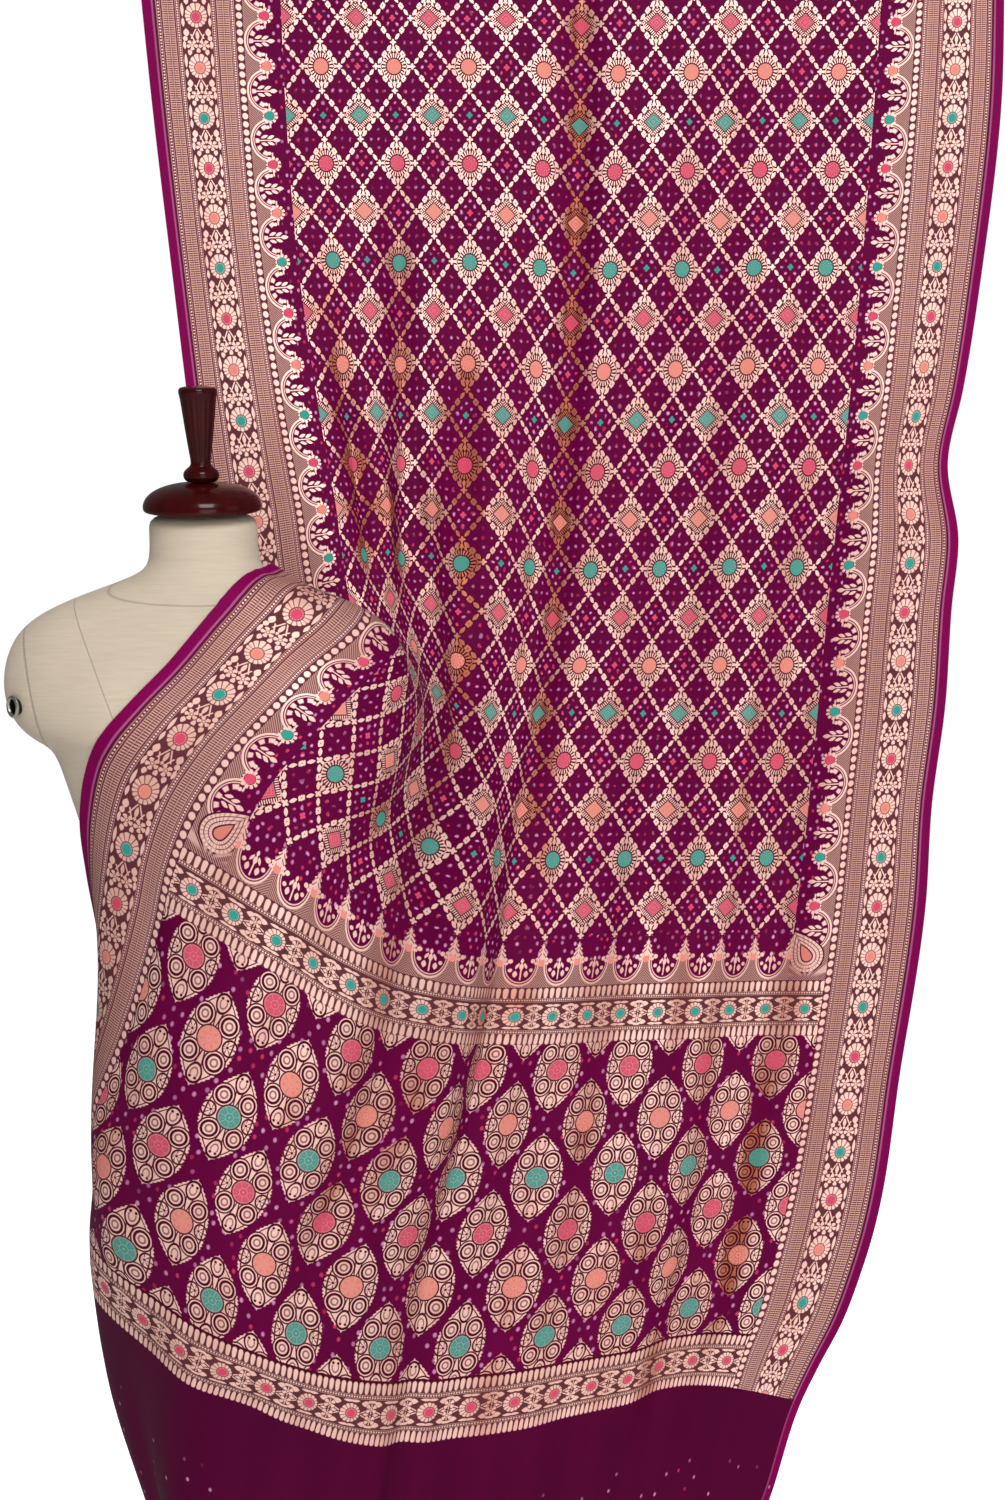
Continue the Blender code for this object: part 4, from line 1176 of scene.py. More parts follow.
def almond_gaps(aside, away, fill):
    """The dark lines in an almond: its rim, ringed discs, hearts at the tips, fans, stalks."""
    to_disc = reach(*((place - middle) / half for place, middle, half
                      in zip((aside, away), DISC_PLACE, DISC_HALF)))
    dark = less(stripe(fill, 0.885, 0.028, 0.02), inside(to_disc, 1.1, 0.04))
    from_heart = away - TIP_HEART
    widened = sum_node("MULTIPLY_ADD", from_heart, 0.1, TIP_HEART_HALF[0])
    to_tip = reach(aside / widened, from_heart / TIP_HEART_HALF[1])
    to_fan = reach((aside - SIDE_FAN) / SIDE_FAN_HALF[0], away / SIDE_FAN_HALF[1])
    fan_rays = outside(wave(sum_node("ARCTAN2", away, aside - 19.5) * 8.0), 0.5, 0.4)
    stalk = stripe(aside - (away - 12.0) * 0.16, 1.0, 0.7) * stripe(away, 20.5, 9.0, 1.0)
    return either(dark, rings(to_disc, DISC_RINGS), stripe(to_disc, 0.38, 0.10, 0.1) * 0.8,
                  stripe(to_tip, 1.0, 0.14, 0.06), inside(reach(aside - 2.9, away - 44.0), 1.6, 0.6),
                  stripe(to_tip, 0.5, 0.09, 0.1) * inside(away, 42.0, 1.0) * 0.8,
                  stripe(to_fan, 1.0, 0.13, 0.06), inside(to_fan, 0.9, 0.1) * fan_rays * 0.8,
                  disc(aside - 20.2, away, 1.4, 1.4), stalk)


def almond_flower(right, down):
    """The flower in an almond's middle, and the veins between its round petals."""
    from_middle = reach(right, down * 0.96)
    turn = size(wave(sum_node("ARCTAN2", down, right) * (FLOWER_PETALS / 2)))
    spokes = inside(turn * from_middle, 1.6, 1.0) * outside(from_middle, FLOWER_RINGS[0])
    inner, outer = (stripe(from_middle, ring, half)
                    for ring, half in zip(FLOWER_RINGS, (0.55, 0.5)))
    seeds = disc(turn - 1.0, from_middle - 8.0, 0.22, 1.8, 0.5) * 0.6
    veins = either(spokes, inner, outer, inside(from_middle, 1.4), seeds)
    return inside(from_middle, FLOWER_RADIUS, 0.6), veins


def end_band_pattern(tree, across, row):
    """Last band: drops, vine with pink rosettes, and drops that hang from it."""
    aside = from_nearest(across - (CLOTH_WIDTH + NET_PITCH) / 2, NET_PITCH)
    down = (row - END_VINE_ROW) * ROW_PITCH
    vine, hearts = vine_across(tree, aside, down, stripe(down, 0.0, END_VINE_HALF, 0.6), *END_VINE)
    zari = either(vine, dotted_lines(tree, across, down, END_DOT_LINES),
                  drops(tree, across, down + 30.5, NET_PITCH / 7, 6.8, 2.4),
                  drops(tree, across, 31.5 - down, NET_PITCH / 8, 7.4, 2.2))
    return {"Zari": zari, "Guard": stripe(down, -2.0, 32.0, 0.6) * CLOSE_GROUND,
            "Outline": inside(down, 31.0, 1.0), "Pink": hearts}


def plain_end_pattern(tree, across, row):
    """The plain end, with a few dots low down."""
    out = border_distance(across)
    dots, red = tied_dots(tree, across, row, 22.0, 1.6, 0.6)
    return {"Dot": dots * outside(row, 29.6, 0.6), "Red": red, "Selvage": selvage_strip(out),
            "Pale": stripe(out, SELVAGE_THREAD, 1.0, 1.2) * 0.15}


def cloth_material(name, pattern, ground, colours):
    """A zone of the cloth: its pattern, and the finish that all zones share."""
    material, tree, shader = plain_material(name, Specular_IOR_Level=0.05)
    weave = tree.nodes.new("ShaderNodeUVMap")
    weave.uv_map = "weave"
    across, row, _ = parts_of(tree, weave.outputs[0])
    masks = pattern(tree, across * (1 / MM), row * (1 / (ROW_PITCH * MM)))
    # how far the sheet turns from the light, painted as the zari's shade
    turned = tree.nodes.new("ShaderNodeAttribute")
    turned.attribute_name = "turned"
    base = tuple(ground)
    # the darker woven ground is partly thread colour and partly painted shade beside the zari
    for mask, colour in (("Outline", colours.outline), ("Selvage", colours.selvage),
                         ("Pale", colours.knots)):
        if mask in masks:
            base = mixed(tree, masks.pop(mask), base, tuple(colour))
    finish = use_group(tree, "woven finish", Place=weave.outputs[0],
                       Turned=turned.outputs["Fac"], Ground=base, **masks)
    tree.links.new(finish.outputs["Colour"], shader.inputs["Base Color"])
    tree.links.new(finish.outputs["Roughness"], shader.inputs["Roughness"])
    tree.links.new(finish.outputs["Metallic"], shader.inputs["Metallic"])
    raise_surface(tree, shader, Term(finish.outputs["Height"]), 0.6)
    return material


# ---- the thin sheet ---------------------------------------------------------------------------
def stations(stretches):
    """Even steps along each stretch, ends included."""
    places = [stretches[0][0]]
    for first, last, cells in stretches:
        places += [first + (last - first) * k / cells for k in range(1, cells + 1)]
    return np.array(places)


def blend_matrix(knots, places):
    """Weights that read a smooth cubic through the knots: one line for each place."""
    knots = np.asarray(knots, float)
    gaps = np.diff(knots)
    count = len(knots)
    slope = np.zeros((count, count))
    for k in range(count):
        if k in (0, count - 1):
            first = min(k, count - 2)
            slope[k, first], slope[k, first + 1] = -1 / gaps[first], 1 / gaps[first]
            continue
        before, after = gaps[k - 1], gaps[k]
        left, right = after / (before + after), before / (before + after)
        slope[k, k - 1] = -left / before
        slope[k, k] = left / before - right / after
        slope[k, k + 1] = right / after
    places = np.clip(places, knots[0], knots[-1])
    here = np.clip(np.searchsorted(knots, places) - 1, 0, count - 2)
    span = gaps[here]
    t = (places - knots[here]) / span
    unit = np.eye(count)
    return ((2 * t ** 3 - 3 * t ** 2 + 1)[:, None] * unit[here]
            + ((t ** 3 - 2 * t ** 2 + t) * span)[:, None] * slope[here]
            + (3 * t ** 2 - 2 * t ** 3)[:, None] * unit[here + 1]
            + ((t ** 3 - t ** 2) * span)[:, None] * slope[here + 1])


def crease_heights(rows, columns, creases):
    """Sum of all creases at each point: how far it is lifted towards the looker, in mm."""
    heights = np.zeros((len(rows), len(columns)))
    for first, last, start, end, rise, half in creases:
        share = np.clip((rows - first) / (last - first), 0, 1)
        middle = start + (end - start) * share
        fade_in = np.ones_like(rows) if first <= TOP_ROW else (rows - first) / CREASE_END
        fade_out = np.ones_like(rows) if last >= BOTTOM_ROW else (last - rows) / CREASE_END
        fade = np.clip(np.minimum(fade_in, fade_out), 0, 1)
        fade = fade * fade * (3 - 2 * fade)
        aside = (columns[None, :] - middle[:, None]) / half
        heights += rise * fade[:, None] * np.exp(-aside ** 2)
    return heights


def hung_points(rows, columns):
    """Points of the hanging cloth in metres, before its creases: rows x columns x 3."""
    lines = sorted(HANG)
    rails = np.stack([blend_matrix([e[0] for e in HANG[w]], rows)
                      @ np.array([e[1:] for e in HANG[w]], float) for w in lines], axis=1)
    return np.einsum("cw,rwa->rca", blend_matrix(lines, columns), rails) * MM


def facing(points, rows, columns):
    """The way each point of the sheet faces, towards the looker."""
    along = np.gradient(points, columns, axis=1)
    down = np.gradient(points, rows, axis=0)
    normal = np.cross(along, -down)
    return normal / np.linalg.norm(normal, axis=2, keepdims=True)


def eased(moves, rounds=3):
    """Moves spread softly to their neighbours, never made smaller."""
    for _ in range(rounds):
        padded = np.pad(moves, ((1, 1), (1, 1), (0, 0)), mode="edge")
        mean = (padded[:-2, 1:-1] + padded[2:, 1:-1] + padded[1:-1, :-2]
                + padded[1:-1, 2:]) / 4
        grow = np.linalg.norm(mean, axis=2) > np.linalg.norm(moves, axis=2)
        moves = np.where(grow[..., None], mean * 0.9, moves)
    return moves


def settle(points, rows, columns):
    """Lay the sheet on the dress form: points too near are moved out, neighbours eased."""
    whole = padded_form()
    form = BVHTree.FromPolygons([v.co[:] for v in whole.data.vertices],
                                [p.vertices[:] for p in whole.data.polygons])
    bpy.data.objects.remove(whole, do_unlink=True)
    chosen = np.argwhere((rows[:, None] > SETTLE_ROWS[0]) & (rows[:, None] < SETTLE_ROWS[1])
                         & (columns[None, :] < SETTLE_ACROSS))
    for turn in range(SETTLE_PASSES):
        moves = np.zeros_like(points)
        for r, c in chosen:
            point = Vector(points[r, c])
            near, normal, _, gap = form.find_nearest(point)
            if gap < CLEARANCE or (point - near).dot(normal) < -0.5 * gap:
                moves[r, c] = near + normal * CLEARANCE - point
        if not moves.any():
            break
        points = points + (moves if turn == SETTLE_PASSES - 1 else eased(moves))
    return points


class DRAPE_OT_cloth(Operator):
    """Make the draped cloth as a thin sheet with its woven pattern"""
    bl_idname = "drape.cloth"
    bl_label = "Draped cloth"

    def execute(self, context):
        settings = context.scene.drape_cloth
        rows, columns = stations(SHEET_ROWS), stations(SHEET_COLUMNS)
        smooth = hung_points(rows, columns)
        out = facing(smooth, rows, columns)
        lift = crease_heights(rows, columns, CREASES + SMALL_CREASES)
        points = settle(smooth + out * lift[..., None] * MM, rows, columns)
        # painted shade of the zari: how far the creases turn the sheet, and the listed streaks
        turned = (0.8 * np.linalg.norm(facing(points, rows, columns) - out, axis=2)
                  + crease_heights(rows, columns, ZARI_SHADE_STREAKS))
        cloth = sheet_object("draped_cloth", points, rows, columns, turned)
        for material in cloth_materials(settings):
            cloth.data.materials.append(material)
        thick = cloth.modifiers.new("thickness", "SOLIDIFY")
        thick.thickness = settings.thickness
        thick.offset = 0.0
        apply_modifiers(cloth)
        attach(cloth, "root")
        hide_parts("saree_cloth")
        return {"FINISHED"}


def cloth_zone(row, across):
    """Which material a cell of the sheet has."""
    side = abs(across - CLOTH_WIDTH / 2) - (CLOTH_WIDTH / 2 - BAND_WIDTH)
    if row > END_BAND_END:
        return 6
    if side > SCALLOP_WIDTH:
        return 0
    if row > END_BAND_START:
        return 5
    if row > PALLU_START:
        return 4
    if row > CROWN_END or (row > NET_END and side < 0):
        return 3
    return 1 if side > 0 else 2


def cloth_materials(colours):
    """The zones' materials, in the order that cloth_zone counts them."""
    return [cloth_material(name, pattern, ground, colours) for name, pattern, ground in (
        ("side border", band_pattern, colours.ground),
        ("scallops", scallop_pattern, colours.ground),
        ("diamond net", net_pattern, colours.ground),
        ("cross border", cross_border_pattern, colours.ground),
        ("pallu almonds", pallu_pattern, colours.ground),
        ("end band", end_band_pattern, colours.ground),
        ("plain end", plain_end_pattern, colours.plain_end))]


def sheet_object(name, points, rows, columns, turned):
    """A mesh of the sheet's middle, with the weave's UV map and how far each point is turned,
    which the zari's painted shade follows.
    """
    high_count, wide = points.shape[:2]
    index = np.arange(high_count * wide).reshape(high_count, wide)
    corners = np.stack([index[:-1, :-1], index[1:, :-1], index[1:, 1:], index[:-1, 1:]], axis=2)
    faces = corners.reshape(-1, 4)
    mesh = bpy.data.meshes.new(name)
    mesh.from_pydata(points.reshape(-1, 3).tolist(), [], faces.tolist())
    grid_across, grid_row = np.meshgrid(columns, rows)
    places = np.stack([grid_across * MM, grid_row * ROW_PITCH * MM], axis=2).reshape(-1, 2)
    weave = mesh.uv_layers.new(name="weave")
    weave.data.foreach_set("uv", places[faces.reshape(-1)].astype(np.float32).reshape(-1))
    slope = mesh.attributes.new("turned", "FLOAT", "POINT")
    slope.data.foreach_set("value", turned.astype(np.float32).reshape(-1))
    middle_row = (rows[:-1] + rows[1:]) / 2
    middle_across = (columns[:-1] + columns[1:]) / 2
    zones = [cloth_zone(r, c) for r in middle_row for c in middle_across]
    mesh.polygons.foreach_set("material_index", zones)
    made = bpy.data.objects.new(name, mesh)
    bpy.context.scene.collection.objects.link(made)
    return made


# ---- plain tools for pieces -------------------------------------------------------------------
def deselect():
    """Leave nothing selected, in object mode."""
    if bpy.context.object is not None and bpy.context.object.mode != "OBJECT":
        bpy.ops.object.mode_set(mode="OBJECT")
    for item in bpy.context.selected_objects:
        item.select_set(False)


def take_up(piece):
    """Select one object and make it active."""
    deselect()
    piece.select_set(True)
    bpy.context.view_layer.objects.active = piece


def apply_modifiers(piece):
    """Apply all modifiers and shade the piece smooth."""
    take_up(piece)
    for modifier in list(piece.modifiers):
        bpy.ops.object.modifier_apply(modifier=modifier.name)
    bpy.ops.object.shade_smooth_by_angle(angle=math.radians(40))


def subdivide(piece, name):
    """Round a piece by a subdivision surface."""
    smooth = piece.modifiers.new(name, "SUBSURF")
    smooth.levels = smooth.render_levels = 2
    apply_modifiers(piece)


def keep_place():
    """Put the active piece's place, turn and size into its mesh."""
    bpy.ops.object.transform_apply(location=True, rotation=True, scale=True)


def select_where(piece, test):
    """In edit mode, select just the vertices that pass the test."""
    bpy.ops.mesh.select_all(action="DESELECT")
    bpy.ops.object.mode_set(mode="OBJECT")
    for vertex in piece.data.vertices:
        vertex.select = bool(test(vertex.co))
    bpy.ops.object.mode_set(mode="EDIT")
    bpy.context.tool_settings.mesh_select_mode = (True, False, False)


def lathe(name, profile, segments):
    """A closed turned piece: a circle that is drawn up and resized along the profile, in mm."""
    deselect()
    radius, height = profile[0]
    bpy.ops.mesh.primitive_circle_add(vertices=segments, radius=radius * MM, fill_type="NGON",
                                      location=(0, 0, height * MM))
    piece = bpy.context.object
    piece.name = piece.data.name = name
    keep_place()
    bpy.ops.object.mode_set(mode="EDIT")
    bpy.ops.mesh.select_all(action="SELECT")
    for next_radius, next_height in profile[1:]:
        bpy.ops.mesh.extrude_region_move(
            TRANSFORM_OT_translate={"value": (0, 0, (next_height - height) * MM)})
        share = next_radius / radius
        bpy.ops.transform.resize(value=(share, share, 1.0),
                                 center_override=(0, 0, next_height * MM))
        radius, height = next_radius, next_height
    bpy.ops.mesh.select_all(action="SELECT")
    bpy.ops.mesh.normals_make_consistent(inside=False)
    bpy.ops.object.mode_set(mode="OBJECT")
    return piece


def place_on_neck(piece):
    """Put a turned piece on the neck's leaning axis, with its place in its mesh."""
    take_up(piece)
    piece.rotation_euler = (math.radians(NECK_TILT), 0, 0)
    piece.location = NECK_TOP
    keep_place()


def finish_piece(piece, material, slot, *nodes):
    """Give a piece its material and its body, and hide the CAD nodes that it stands for."""
    piece.data.materials.clear()
    piece.data.materials.append(material)
    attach(piece, "root")
    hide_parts(*nodes)


# ---- materials of the dress form ----------------------------------------------------------------
def object_place(tree):
    """Where a point lies on its piece, in metres."""
    return tree.nodes.new("ShaderNodeTexCoord").outputs["Object"]


def plain_material(name, **values):
    """A new material, its tree and its shader, with values that are the same all over."""
    material = bpy.data.materials.new(name)
    material.use_nodes = True
    shader = material.node_tree.nodes["Principled BSDF"]
    for label, value in values.items():
        shader.inputs[label.replace("_", " ")].default_value = value
    return material, material.node_tree, shader


def tint(tree, shader, colour, tone):
    """Colour a shader, lighter and darker by the tone."""
    node = tree.nodes.new("ShaderNodeCombineColor")
    for k, channel in enumerate(colour):
        tree.links.new((tone * channel).socket, node.inputs[k])
    tree.links.new(node.outputs[0], shader.inputs["Base Color"])


def raise_surface(tree, shader, height, strength):
    """Relief of a height given in mm."""
    bump = tree.nodes.new("ShaderNodeBump")
    bump.inputs["Distance"].default_value = MM
    bump.inputs["Strength"].default_value = strength
    tree.links.new(height.socket, bump.inputs["Height"])
    tree.links.new(bump.outputs[0], shader.inputs["Normal"])


def linen_material(settings):
    """Natural linen: uneven threads both ways, slubs, and stitched seams, which are darkened
    by painted shade in their grooves.
    """
    material, tree, shader = plain_material("linen cover", Roughness=0.86, Sheen_Weight=0.15)
    place = object_place(tree)
    x, y, z = parts_of(tree, place)
    wobble = noise(tree, place, 90.0, 2.0) * 0.0012
    threads = (lines_of(x + y * 0.6 + wobble, settings.linen_pitch)
               * lines_of(z + wobble, settings.linen_pitch))
    slubs = noise(tree, place, 30.0, 3.0, (1.0, 1.0, 14.0))
    blotch = noise(tree, place, 9.0, 2.0)
    seam = seam_line(x, y, z)
    stitch = seam * outside(lines_of(z, STITCH_PITCH), 0.1, 0.8)
    tone = threads * 0.05 + slubs * 0.22 + blotch * 0.14 + 0.78
    # the seams are darkened: painted shade in their grooves
    tint(tree, shader, settings.linen, tone * (1.0 - seam * 0.28))
    raise_surface(tree, shader, threads * 0.14 + slubs * 0.35 + stitch * 0.3 - seam * 0.9, 0.7)
    return material


def seam_line(x, y, z):
    """1 on the seams: down the chest, round the foot of the neck and round each armhole."""
    from_middle = size(x - FORM_X)
    top_x, top_z = CHEST_SEAM_TOP
    chest = size(from_middle - high((z - top_z) * CHEST_SEAM_LEAN + top_x, CHEST_SEAM_LEAST))
    front_y, front_z = CHEST_SEAM_EDGES
    chest = pick(inside(y, front_y, 0.01) * inside(z, front_z, 0.005), chest, 1.0)
    neck = size(z - NECK_SEAM[1] - (y - NECK_SEAM[0]) * NECK_SEAM_SLOPE)
    arm_foot = ARM_GAP_Z[1] * MM
    armhole = size(from_middle - (z - arm_foot) * ARM_RUN - ARM_GAP_X[1] * MM)
    armhole = pick(outside(z, arm_foot, 0.002), armhole, 1.0)
    return inside(low(low(chest, neck), armhole - SEAM_HALF), SEAM_HALF, 0.0010)


def wood_material(settings):
    """Dark polished wood with faint upright grain under a clear coat."""
    material, tree, shader = plain_material("polished wood", Specular_IOR_Level=0.08,
                                            Coat_Weight=0.16, Coat_Roughness=0.08)
    place = object_place(tree)
    grain = noise(tree, place, 60.0, 4.0, (1.0, 1.0, 0.12))
    fine = noise(tree, place, 420.0, 2.0, (1.0, 1.0, 0.08))
    tint(tree, shader, settings.wood, grain * 0.9 + fine * 0.3 + 0.3)
    smears = noise(tree, place, 25.0, 2.0)
    tree.links.new((smears * 0.16 + 0.16).socket, shader.inputs["Roughness"])
    return material


def nickel_material(settings):
    """Worn nickel, a little brushed."""
    material, tree, shader = plain_material("nickel ring", Metallic=1.0)
    wear = noise(tree, object_place(tree), 900.0, 3.0)
    tint(tree, shader, settings.nickel, wear * 0.3 + 0.8)
    tree.links.new((wear * 0.3 + 0.2).socket, shader.inputs["Roughness"])
    return material


def socket_shade_material():
    """Steel inside the bolt socket, near black: painted shade of the deep hole."""
    material, tree, shader = plain_material("bolt socket", Metallic=0.6,
                                            Base_Color=(0.012, 0.011, 0.010, 1.0))
    wear = noise(tree, object_place(tree), 300.0, 3.0)
    tree.links.new((wear * 0.3 + 0.3).socket, shader.inputs["Roughness"])
    return material


# ---- pieces of the dress form -------------------------------------------------------------------
def padded_form():
    """The whole padded body, before its arms are parted from it."""
    deselect()
    z, wide, deep, middle, _ = FORM[0]
    bpy.ops.mesh.primitive_circle_add(vertices=FORM_SEGMENTS, radius=MM, fill_type="NGON",
                                      location=(FORM_X, middle * MM, z * MM))
    piece = bpy.context.object
    piece.name = piece.data.name = "padded_form"
    keep_place()
    bpy.ops.object.mode_set(mode="EDIT")
    bpy.ops.mesh.select_all(action="SELECT")
    bpy.ops.transform.resize(value=(wide, deep, 1.0),
                             center_override=(FORM_X, middle * MM, z * MM))
    for next_z, next_wide, next_deep, next_middle, _ in FORM[1:]:
        bpy.ops.mesh.extrude_region_move(TRANSFORM_OT_translate={
            "value": (0, (next_middle - middle) * MM, (next_z - z) * MM)})
        bpy.ops.transform.resize(value=(next_wide / wide, next_deep / deep, 1.0),
                                 center_override=(FORM_X, next_middle * MM, next_z * MM))
        z, wide, deep, middle = next_z, next_wide, next_deep, next_middle
    tilt_neck(piece)
    pad_bust(piece)
    bpy.ops.mesh.select_all(action="SELECT")
    bpy.ops.mesh.normals_make_consistent(inside=False)
    bpy.ops.object.mode_set(mode="OBJECT")
    subdivide(piece, "padding")
    return piece


def tilt_neck(piece):
    """Lean the upper rings of the neck towards the looker."""
    for z, _, _, middle, share in FORM:
        if share > 0:
            select_where(piece, lambda co: abs(co.z - z * MM) < 0.5 * MM)
            bpy.ops.transform.rotate(value=-math.radians(NECK_TILT) * share, orient_axis="X",
                                     center_override=(FORM_X, middle * MM, z * MM))


def pad_bust(piece):
    """Push the chest out a little on both sides."""
    for side in (-1, 1):
        place = Vector((FORM_X + side * BUST_X, BUST_Y, BUST_Z))
        nearest_one = min((v.co.copy() for v in piece.data.vertices),
                          key=lambda co: (co - place).length)
        select_where(piece, lambda co: (co - nearest_one).length < 0.1 * MM)
        bpy.ops.transform.translate(value=(0, -BUST_HEIGHT, 0), use_proportional_edit=True,
                                    proportional_edit_falloff="SMOOTH",
                                    proportional_size=BUST_REACH)


def arm_block(side, gap, foot):
    """A block whose inner face lies on the armhole seam, gap outside it."""
    deselect()
    reach_out, deep, tall = 0.30, 0.60, 0.30    # metres, past the arm on all sides
    low_x = FORM_X + side * (ARM_GAP_X[1] * MM + gap)
    base = ARM_GAP_Z[1] * MM + foot
    bpy.ops.mesh.primitive_cube_add(size=1.0, location=(low_x + side * reach_out / 2,
                                                        -0.325, base + tall / 2))
    block = bpy.context.object
    block.scale = (reach_out, deep, tall)
    keep_place()
    bpy.ops.object.mode_set(mode="EDIT")
    select_where(block, lambda co: abs(co.x - low_x) < MM and co.z > base + tall / 2)
    bpy.ops.transform.translate(value=(side * ARM_RUN * tall, 0, 0))
    bpy.ops.object.mode_set(mode="OBJECT")
    return block


def cut_with(piece, cutter, operation):
    """Boolean with a cutter, which is removed afterwards."""
    cut = piece.modifiers.new("cut", "BOOLEAN")
    cut.operation = operation
    cut.object = cutter
    take_up(piece)
    bpy.ops.object.modifier_apply(modifier=cut.name)
    bpy.data.objects.remove(cutter, do_unlink=True)


def soften_seam(piece):
    """Round the edges where two padded parts are sewn together."""
    soft = piece.modifiers.new("sewn edge", "BEVEL")
    soft.width = SEWN_EDGE
    soft.segments = 3
    soft.limit_method = "ANGLE"
    soft.angle_limit = math.radians(50)
    apply_modifiers(piece)


def copy_of(piece, name):
    """A copy with its own mesh."""
    made = piece.copy()
    made.data = piece.data.copy()
    made.name = made.data.name = name
    bpy.context.scene.collection.objects.link(made)
    return made


def bolt_hole():
    """A plug where the bolt hole goes into the bare arm."""
    deselect()
    bpy.ops.mesh.primitive_cylinder_add(vertices=32, radius=BOLT_HOLE_RADIUS,
                                        depth=2 * BOLT_HOLE_DEPTH, location=RING_POINT)
    plug = bpy.context.object
    plug.rotation_euler = RING_TURN
    keep_place()
    return plug


def ring_flat():
    """A block that planes the small flat under the bolt ring."""
    deselect()
    thick, wide = 20 * MM, 50 * MM
    middle = RING_POINT + RING_FACING * (thick / 2)
    bpy.ops.mesh.primitive_cube_add(size=1.0, location=middle)
    block = bpy.context.object
    block.scale = (wide, wide, thick)
    block.rotation_euler = RING_TURN
    keep_place()
    return block


class DRAPE_OT_form(Operator):
    """Make the linen body of the dress form and its two short arms"""
    bl_idname = "drape.form"
    bl_label = "Linen body and arms"

    def execute(self, context):
        linen = linen_material(context.scene.drape_form)
        whole = padded_form()
        arms = {}
        for side, name in ((-1, "bare_arm"), (1, "covered_arm")):
            arm = copy_of(whole, name)
            cut_with(arm, arm_block(side, SEAT, ARM_FOOT), "INTERSECT")
            cut_with(whole, arm_block(side, 0.0, 0.0), "DIFFERENCE")
            arms[name] = arm
        cut_with(arms["bare_arm"], ring_flat(), "DIFFERENCE")
        cut_with(arms["bare_arm"], bolt_hole(), "DIFFERENCE")
        whole.name = whole.data.name = "linen_body"
        for piece, node in ((whole, "form_torso"), (arms["bare_arm"], "arm_bare"),
                            (arms["covered_arm"], "arm_covered")):
            soften_seam(piece)
            finish_piece(piece, linen, "linen", node)
        return {"FINISHED"}


class DRAPE_OT_neck_cap(Operator):
    """Make the turned wooden cap on the neck"""
    bl_idname = "drape.neck_cap"
    bl_label = "Neck cap"

    def execute(self, context):
        piece = lathe("turned_cap", CAP_PROFILE, 40)
        subdivide(piece, "polish")
        place_on_neck(piece)
        finish_piece(piece, wood_material(context.scene.drape_form), "polished_wood",
                     "neck_cap")
        return {"FINISHED"}


class DRAPE_OT_finial(Operator):
    """Make the fluted finial with its ball foot"""
    bl_idname = "drape.finial"
    bl_label = "Fluted finial"

    def execute(self, context):
        flutes = context.scene.drape_form.flutes
        piece = lathe("fluted_finial", FINIAL_PROFILE, 2 * flutes)
        bpy.ops.object.mode_set(mode="EDIT")

        def in_flute(co):
            if not FLUTE_HEIGHTS[0] * MM < co.z < FLUTE_HEIGHTS[1] * MM:
                return False
            step = math.atan2(co.y, co.x) / math.tau * 2 * flutes
            return round(step) % 2 == 1

        select_where(piece, in_flute)
        bpy.ops.transform.resize(value=(0.90, 0.90, 1.0), center_override=(0, 0, 0))
        bpy.ops.object.mode_set(mode="OBJECT")
        subdivide(piece, "polish")
        place_on_neck(piece)
        finish_piece(piece, wood_material(context.scene.drape_form), "polished_wood",
                     "finial")
        return {"FINISHED"}


class DRAPE_OT_arm_ring(Operator):
    """Make the metal ring round the bolt hole in the bare arm"""
    bl_idname = "drape.arm_ring"
    bl_label = "Bolt ring"

    def execute(self, context):
        piece = lathe("bolt_ring", RING_PROFILE, 40)
        apply_modifiers(piece)
        inner = [p.index for p in piece.data.polygons
                 if p.center.z < -SOCKET_DEPTH or len(p.vertices) > 4]
        take_up(piece)
        piece.rotation_euler = RING_TURN
        piece.location = RING_POINT
        keep_place()
        finish_piece(piece, nickel_material(context.scene.drape_form), "nickel", "arm_eyelet")
        # the socket's inside is near black: painted shade of the hole
        piece.data.materials.append(socket_shade_material())
        for k in inner:
            piece.data.polygons[k].material_index = 1
        return {"FINISHED"}


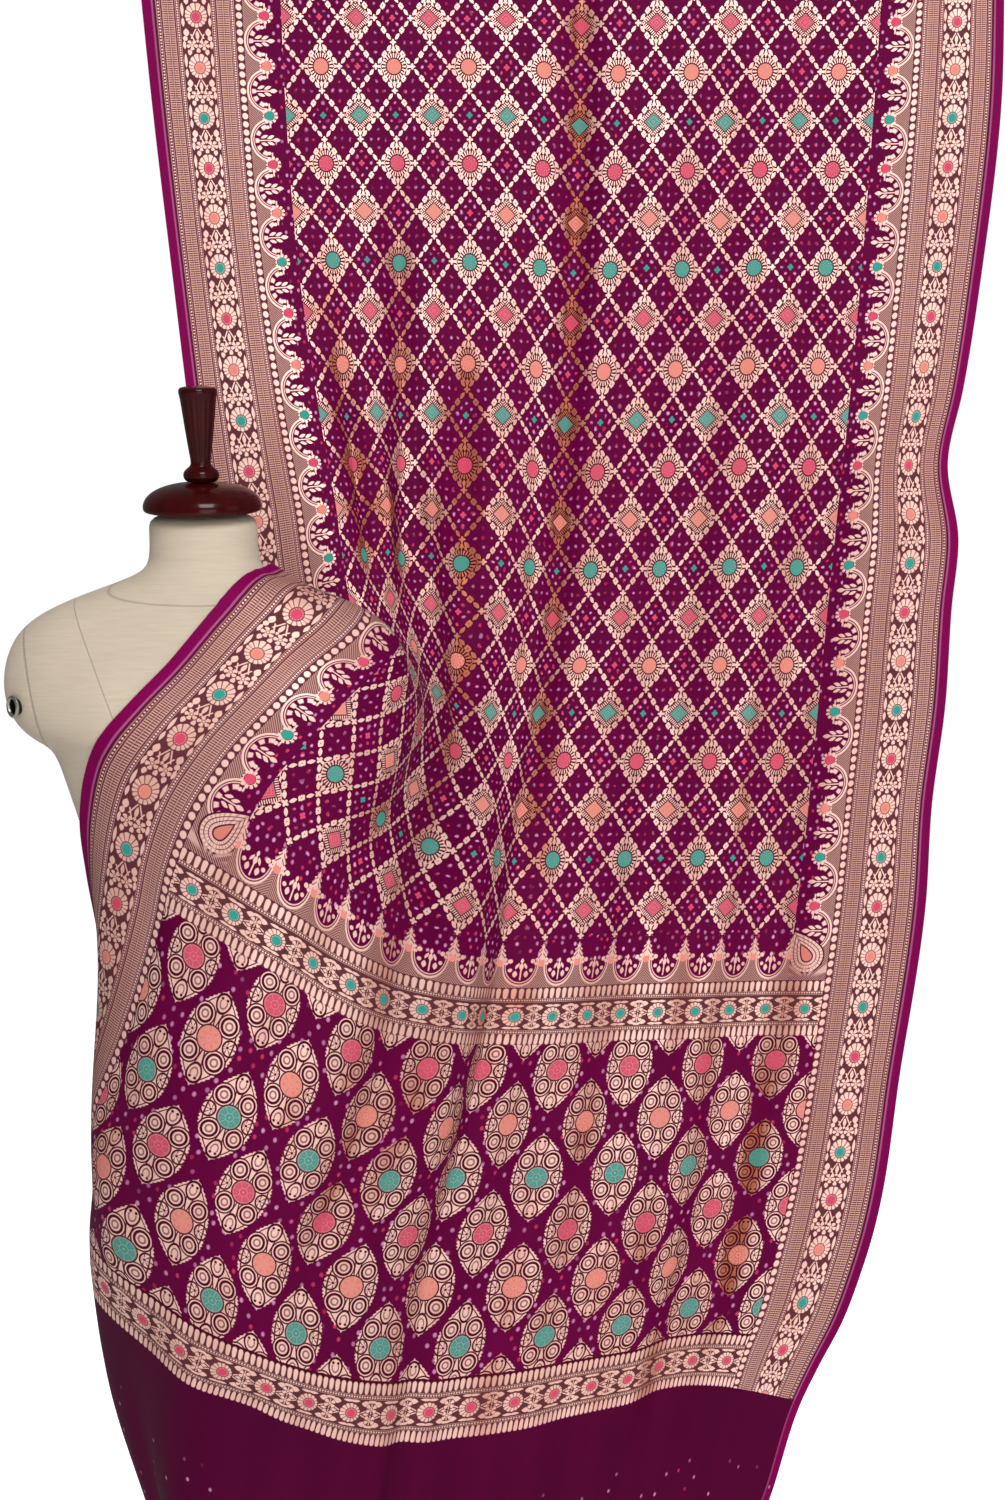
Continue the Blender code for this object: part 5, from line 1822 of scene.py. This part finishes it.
class DRAPE_OT_stage(Operator):
    """Make the floor, the lights and the camera"""
    bl_idname = "drape.stage"
    bl_label = "Stage"

    def execute(self, context):
        settings = context.scene.drape_stage
        self.make_floor(settings)
        self.make_world(context.scene)
        for name, spot, target, width, power in LIGHTS:
            lamp = bpy.data.lights.new(name, "AREA")
            lamp.shape = "SQUARE"
            lamp.size = width
            lamp.energy = power * settings.light
            holder = bpy.data.objects.new(name, lamp)
            holder.location = spot
            aim = Vector(target) - Vector(spot)
            holder.rotation_euler = aim.to_track_quat("-Z", "Y").to_euler()
            holder.visible_camera = False
            context.scene.collection.objects.link(holder)
        lens = bpy.data.cameras.new("camera")
        lens.sensor_width = 36.0
        lens.lens = settings.lens
        camera = bpy.data.objects.new("camera", lens)
        camera.location = settings.camera
        camera.rotation_euler = (math.pi / 2 - settings.pitch, 0, 0)
        context.scene.collection.objects.link(camera)
        context.scene.camera = camera
        context.scene.view_settings.view_transform = "Standard"
        return {"FINISHED"}

    def make_floor(self, settings):
        """A wide round floor with a slightly uneven matt finish."""
        deselect()
        bpy.ops.mesh.primitive_circle_add(vertices=96, radius=FLOOR_RADIUS, fill_type="NGON",
                                          location=(0, 0, settings.floor_height))
        floor = bpy.context.object
        floor.name = "floor"
        material, tree, shader = plain_material("pale floor", Roughness=0.9,
                                                Emission_Color=(1.0, 1.0, 1.0, 1.0))
        blotch = noise(tree, object_place(tree), 1.5, 2.0)
        tint(tree, shader, settings.floor, blotch * 0.03 + 0.97)
        seen = Term(tree.nodes.new("ShaderNodeLightPath").outputs["Is Camera Ray"])
        tree.links.new((seen * 0.85).socket, shader.inputs["Emission Strength"])
        floor.data.materials.append(material)

    def make_world(self, scene):
        """Even white studio light."""
        world = bpy.data.worlds.new("studio")
        world.use_nodes = True
        sky = world.node_tree.nodes["Background"]
        sky.inputs[0].default_value = (1.0, 1.0, 1.0, 1.0)
        # the camera sees nearly white, and the pieces get only the even light
        path = world.node_tree.nodes.new("ShaderNodeLightPath")
        seen = Term(path.outputs["Is Camera Ray"])
        world.node_tree.links.new((seen * 0.84 + FILL_LIGHT).socket, sky.inputs[1])
        scene.world = world


PIECES = (DRAPE_OT_form, DRAPE_OT_neck_cap, DRAPE_OT_finial, DRAPE_OT_arm_ring, DRAPE_OT_cloth,
          DRAPE_OT_stage)
SETTINGS = {"drape_cloth": DrapeClothSettings, "drape_form": DrapeFormSettings,
            "drape_stage": DrapeStageSettings}


class DRAPE_PT_panel(Panel):
    """Lists the pieces and their settings"""
    bl_label = "Draped cloth"
    bl_space_type = "VIEW_3D"
    bl_region_type = "UI"
    bl_category = "Drape"

    def draw(self, context):
        for name, kind in SETTINGS.items():
            box = self.layout.box()
            group = getattr(context.scene, name)
            for key in kind.__annotations__:
                box.prop(group, key)
        for piece in PIECES:
            self.layout.operator(piece.bl_idname)


def register():
    """Register the settings, the operators and the panel."""
    for group in SETTINGS.values():
        bpy.utils.register_class(group)
    for name, group in SETTINGS.items():
        setattr(bpy.types.Scene, name, PointerProperty(type=group))
    for piece in (*PIECES, DRAPE_PT_panel):
        bpy.utils.register_class(piece)


def unregister():
    """Take all of them out again."""
    for piece in reversed((*PIECES, DRAPE_PT_panel)):
        bpy.utils.unregister_class(piece)
    for name in SETTINGS:
        delattr(bpy.types.Scene, name)
    for group in reversed(list(SETTINGS.values())):
        bpy.utils.unregister_class(group)


def build_pattern_groups(colours):
    """The node groups that the cloth's materials share."""
    build_flower_group()
    build_dotted_line_group()
    build_guard_group()
    build_drops_group()
    build_vine_group()
    build_knots_group()
    build_weave_group(colours)


def main():
    """Build every piece and the stage."""
    register()
    build_pattern_groups(bpy.context.scene.drape_cloth)
    bpy.ops.drape.form()
    bpy.ops.drape.neck_cap()
    bpy.ops.drape.finial()
    bpy.ops.drape.arm_ring()
    bpy.ops.drape.cloth()
    bpy.ops.drape.stage()


if __name__ == "__main__":
    main()
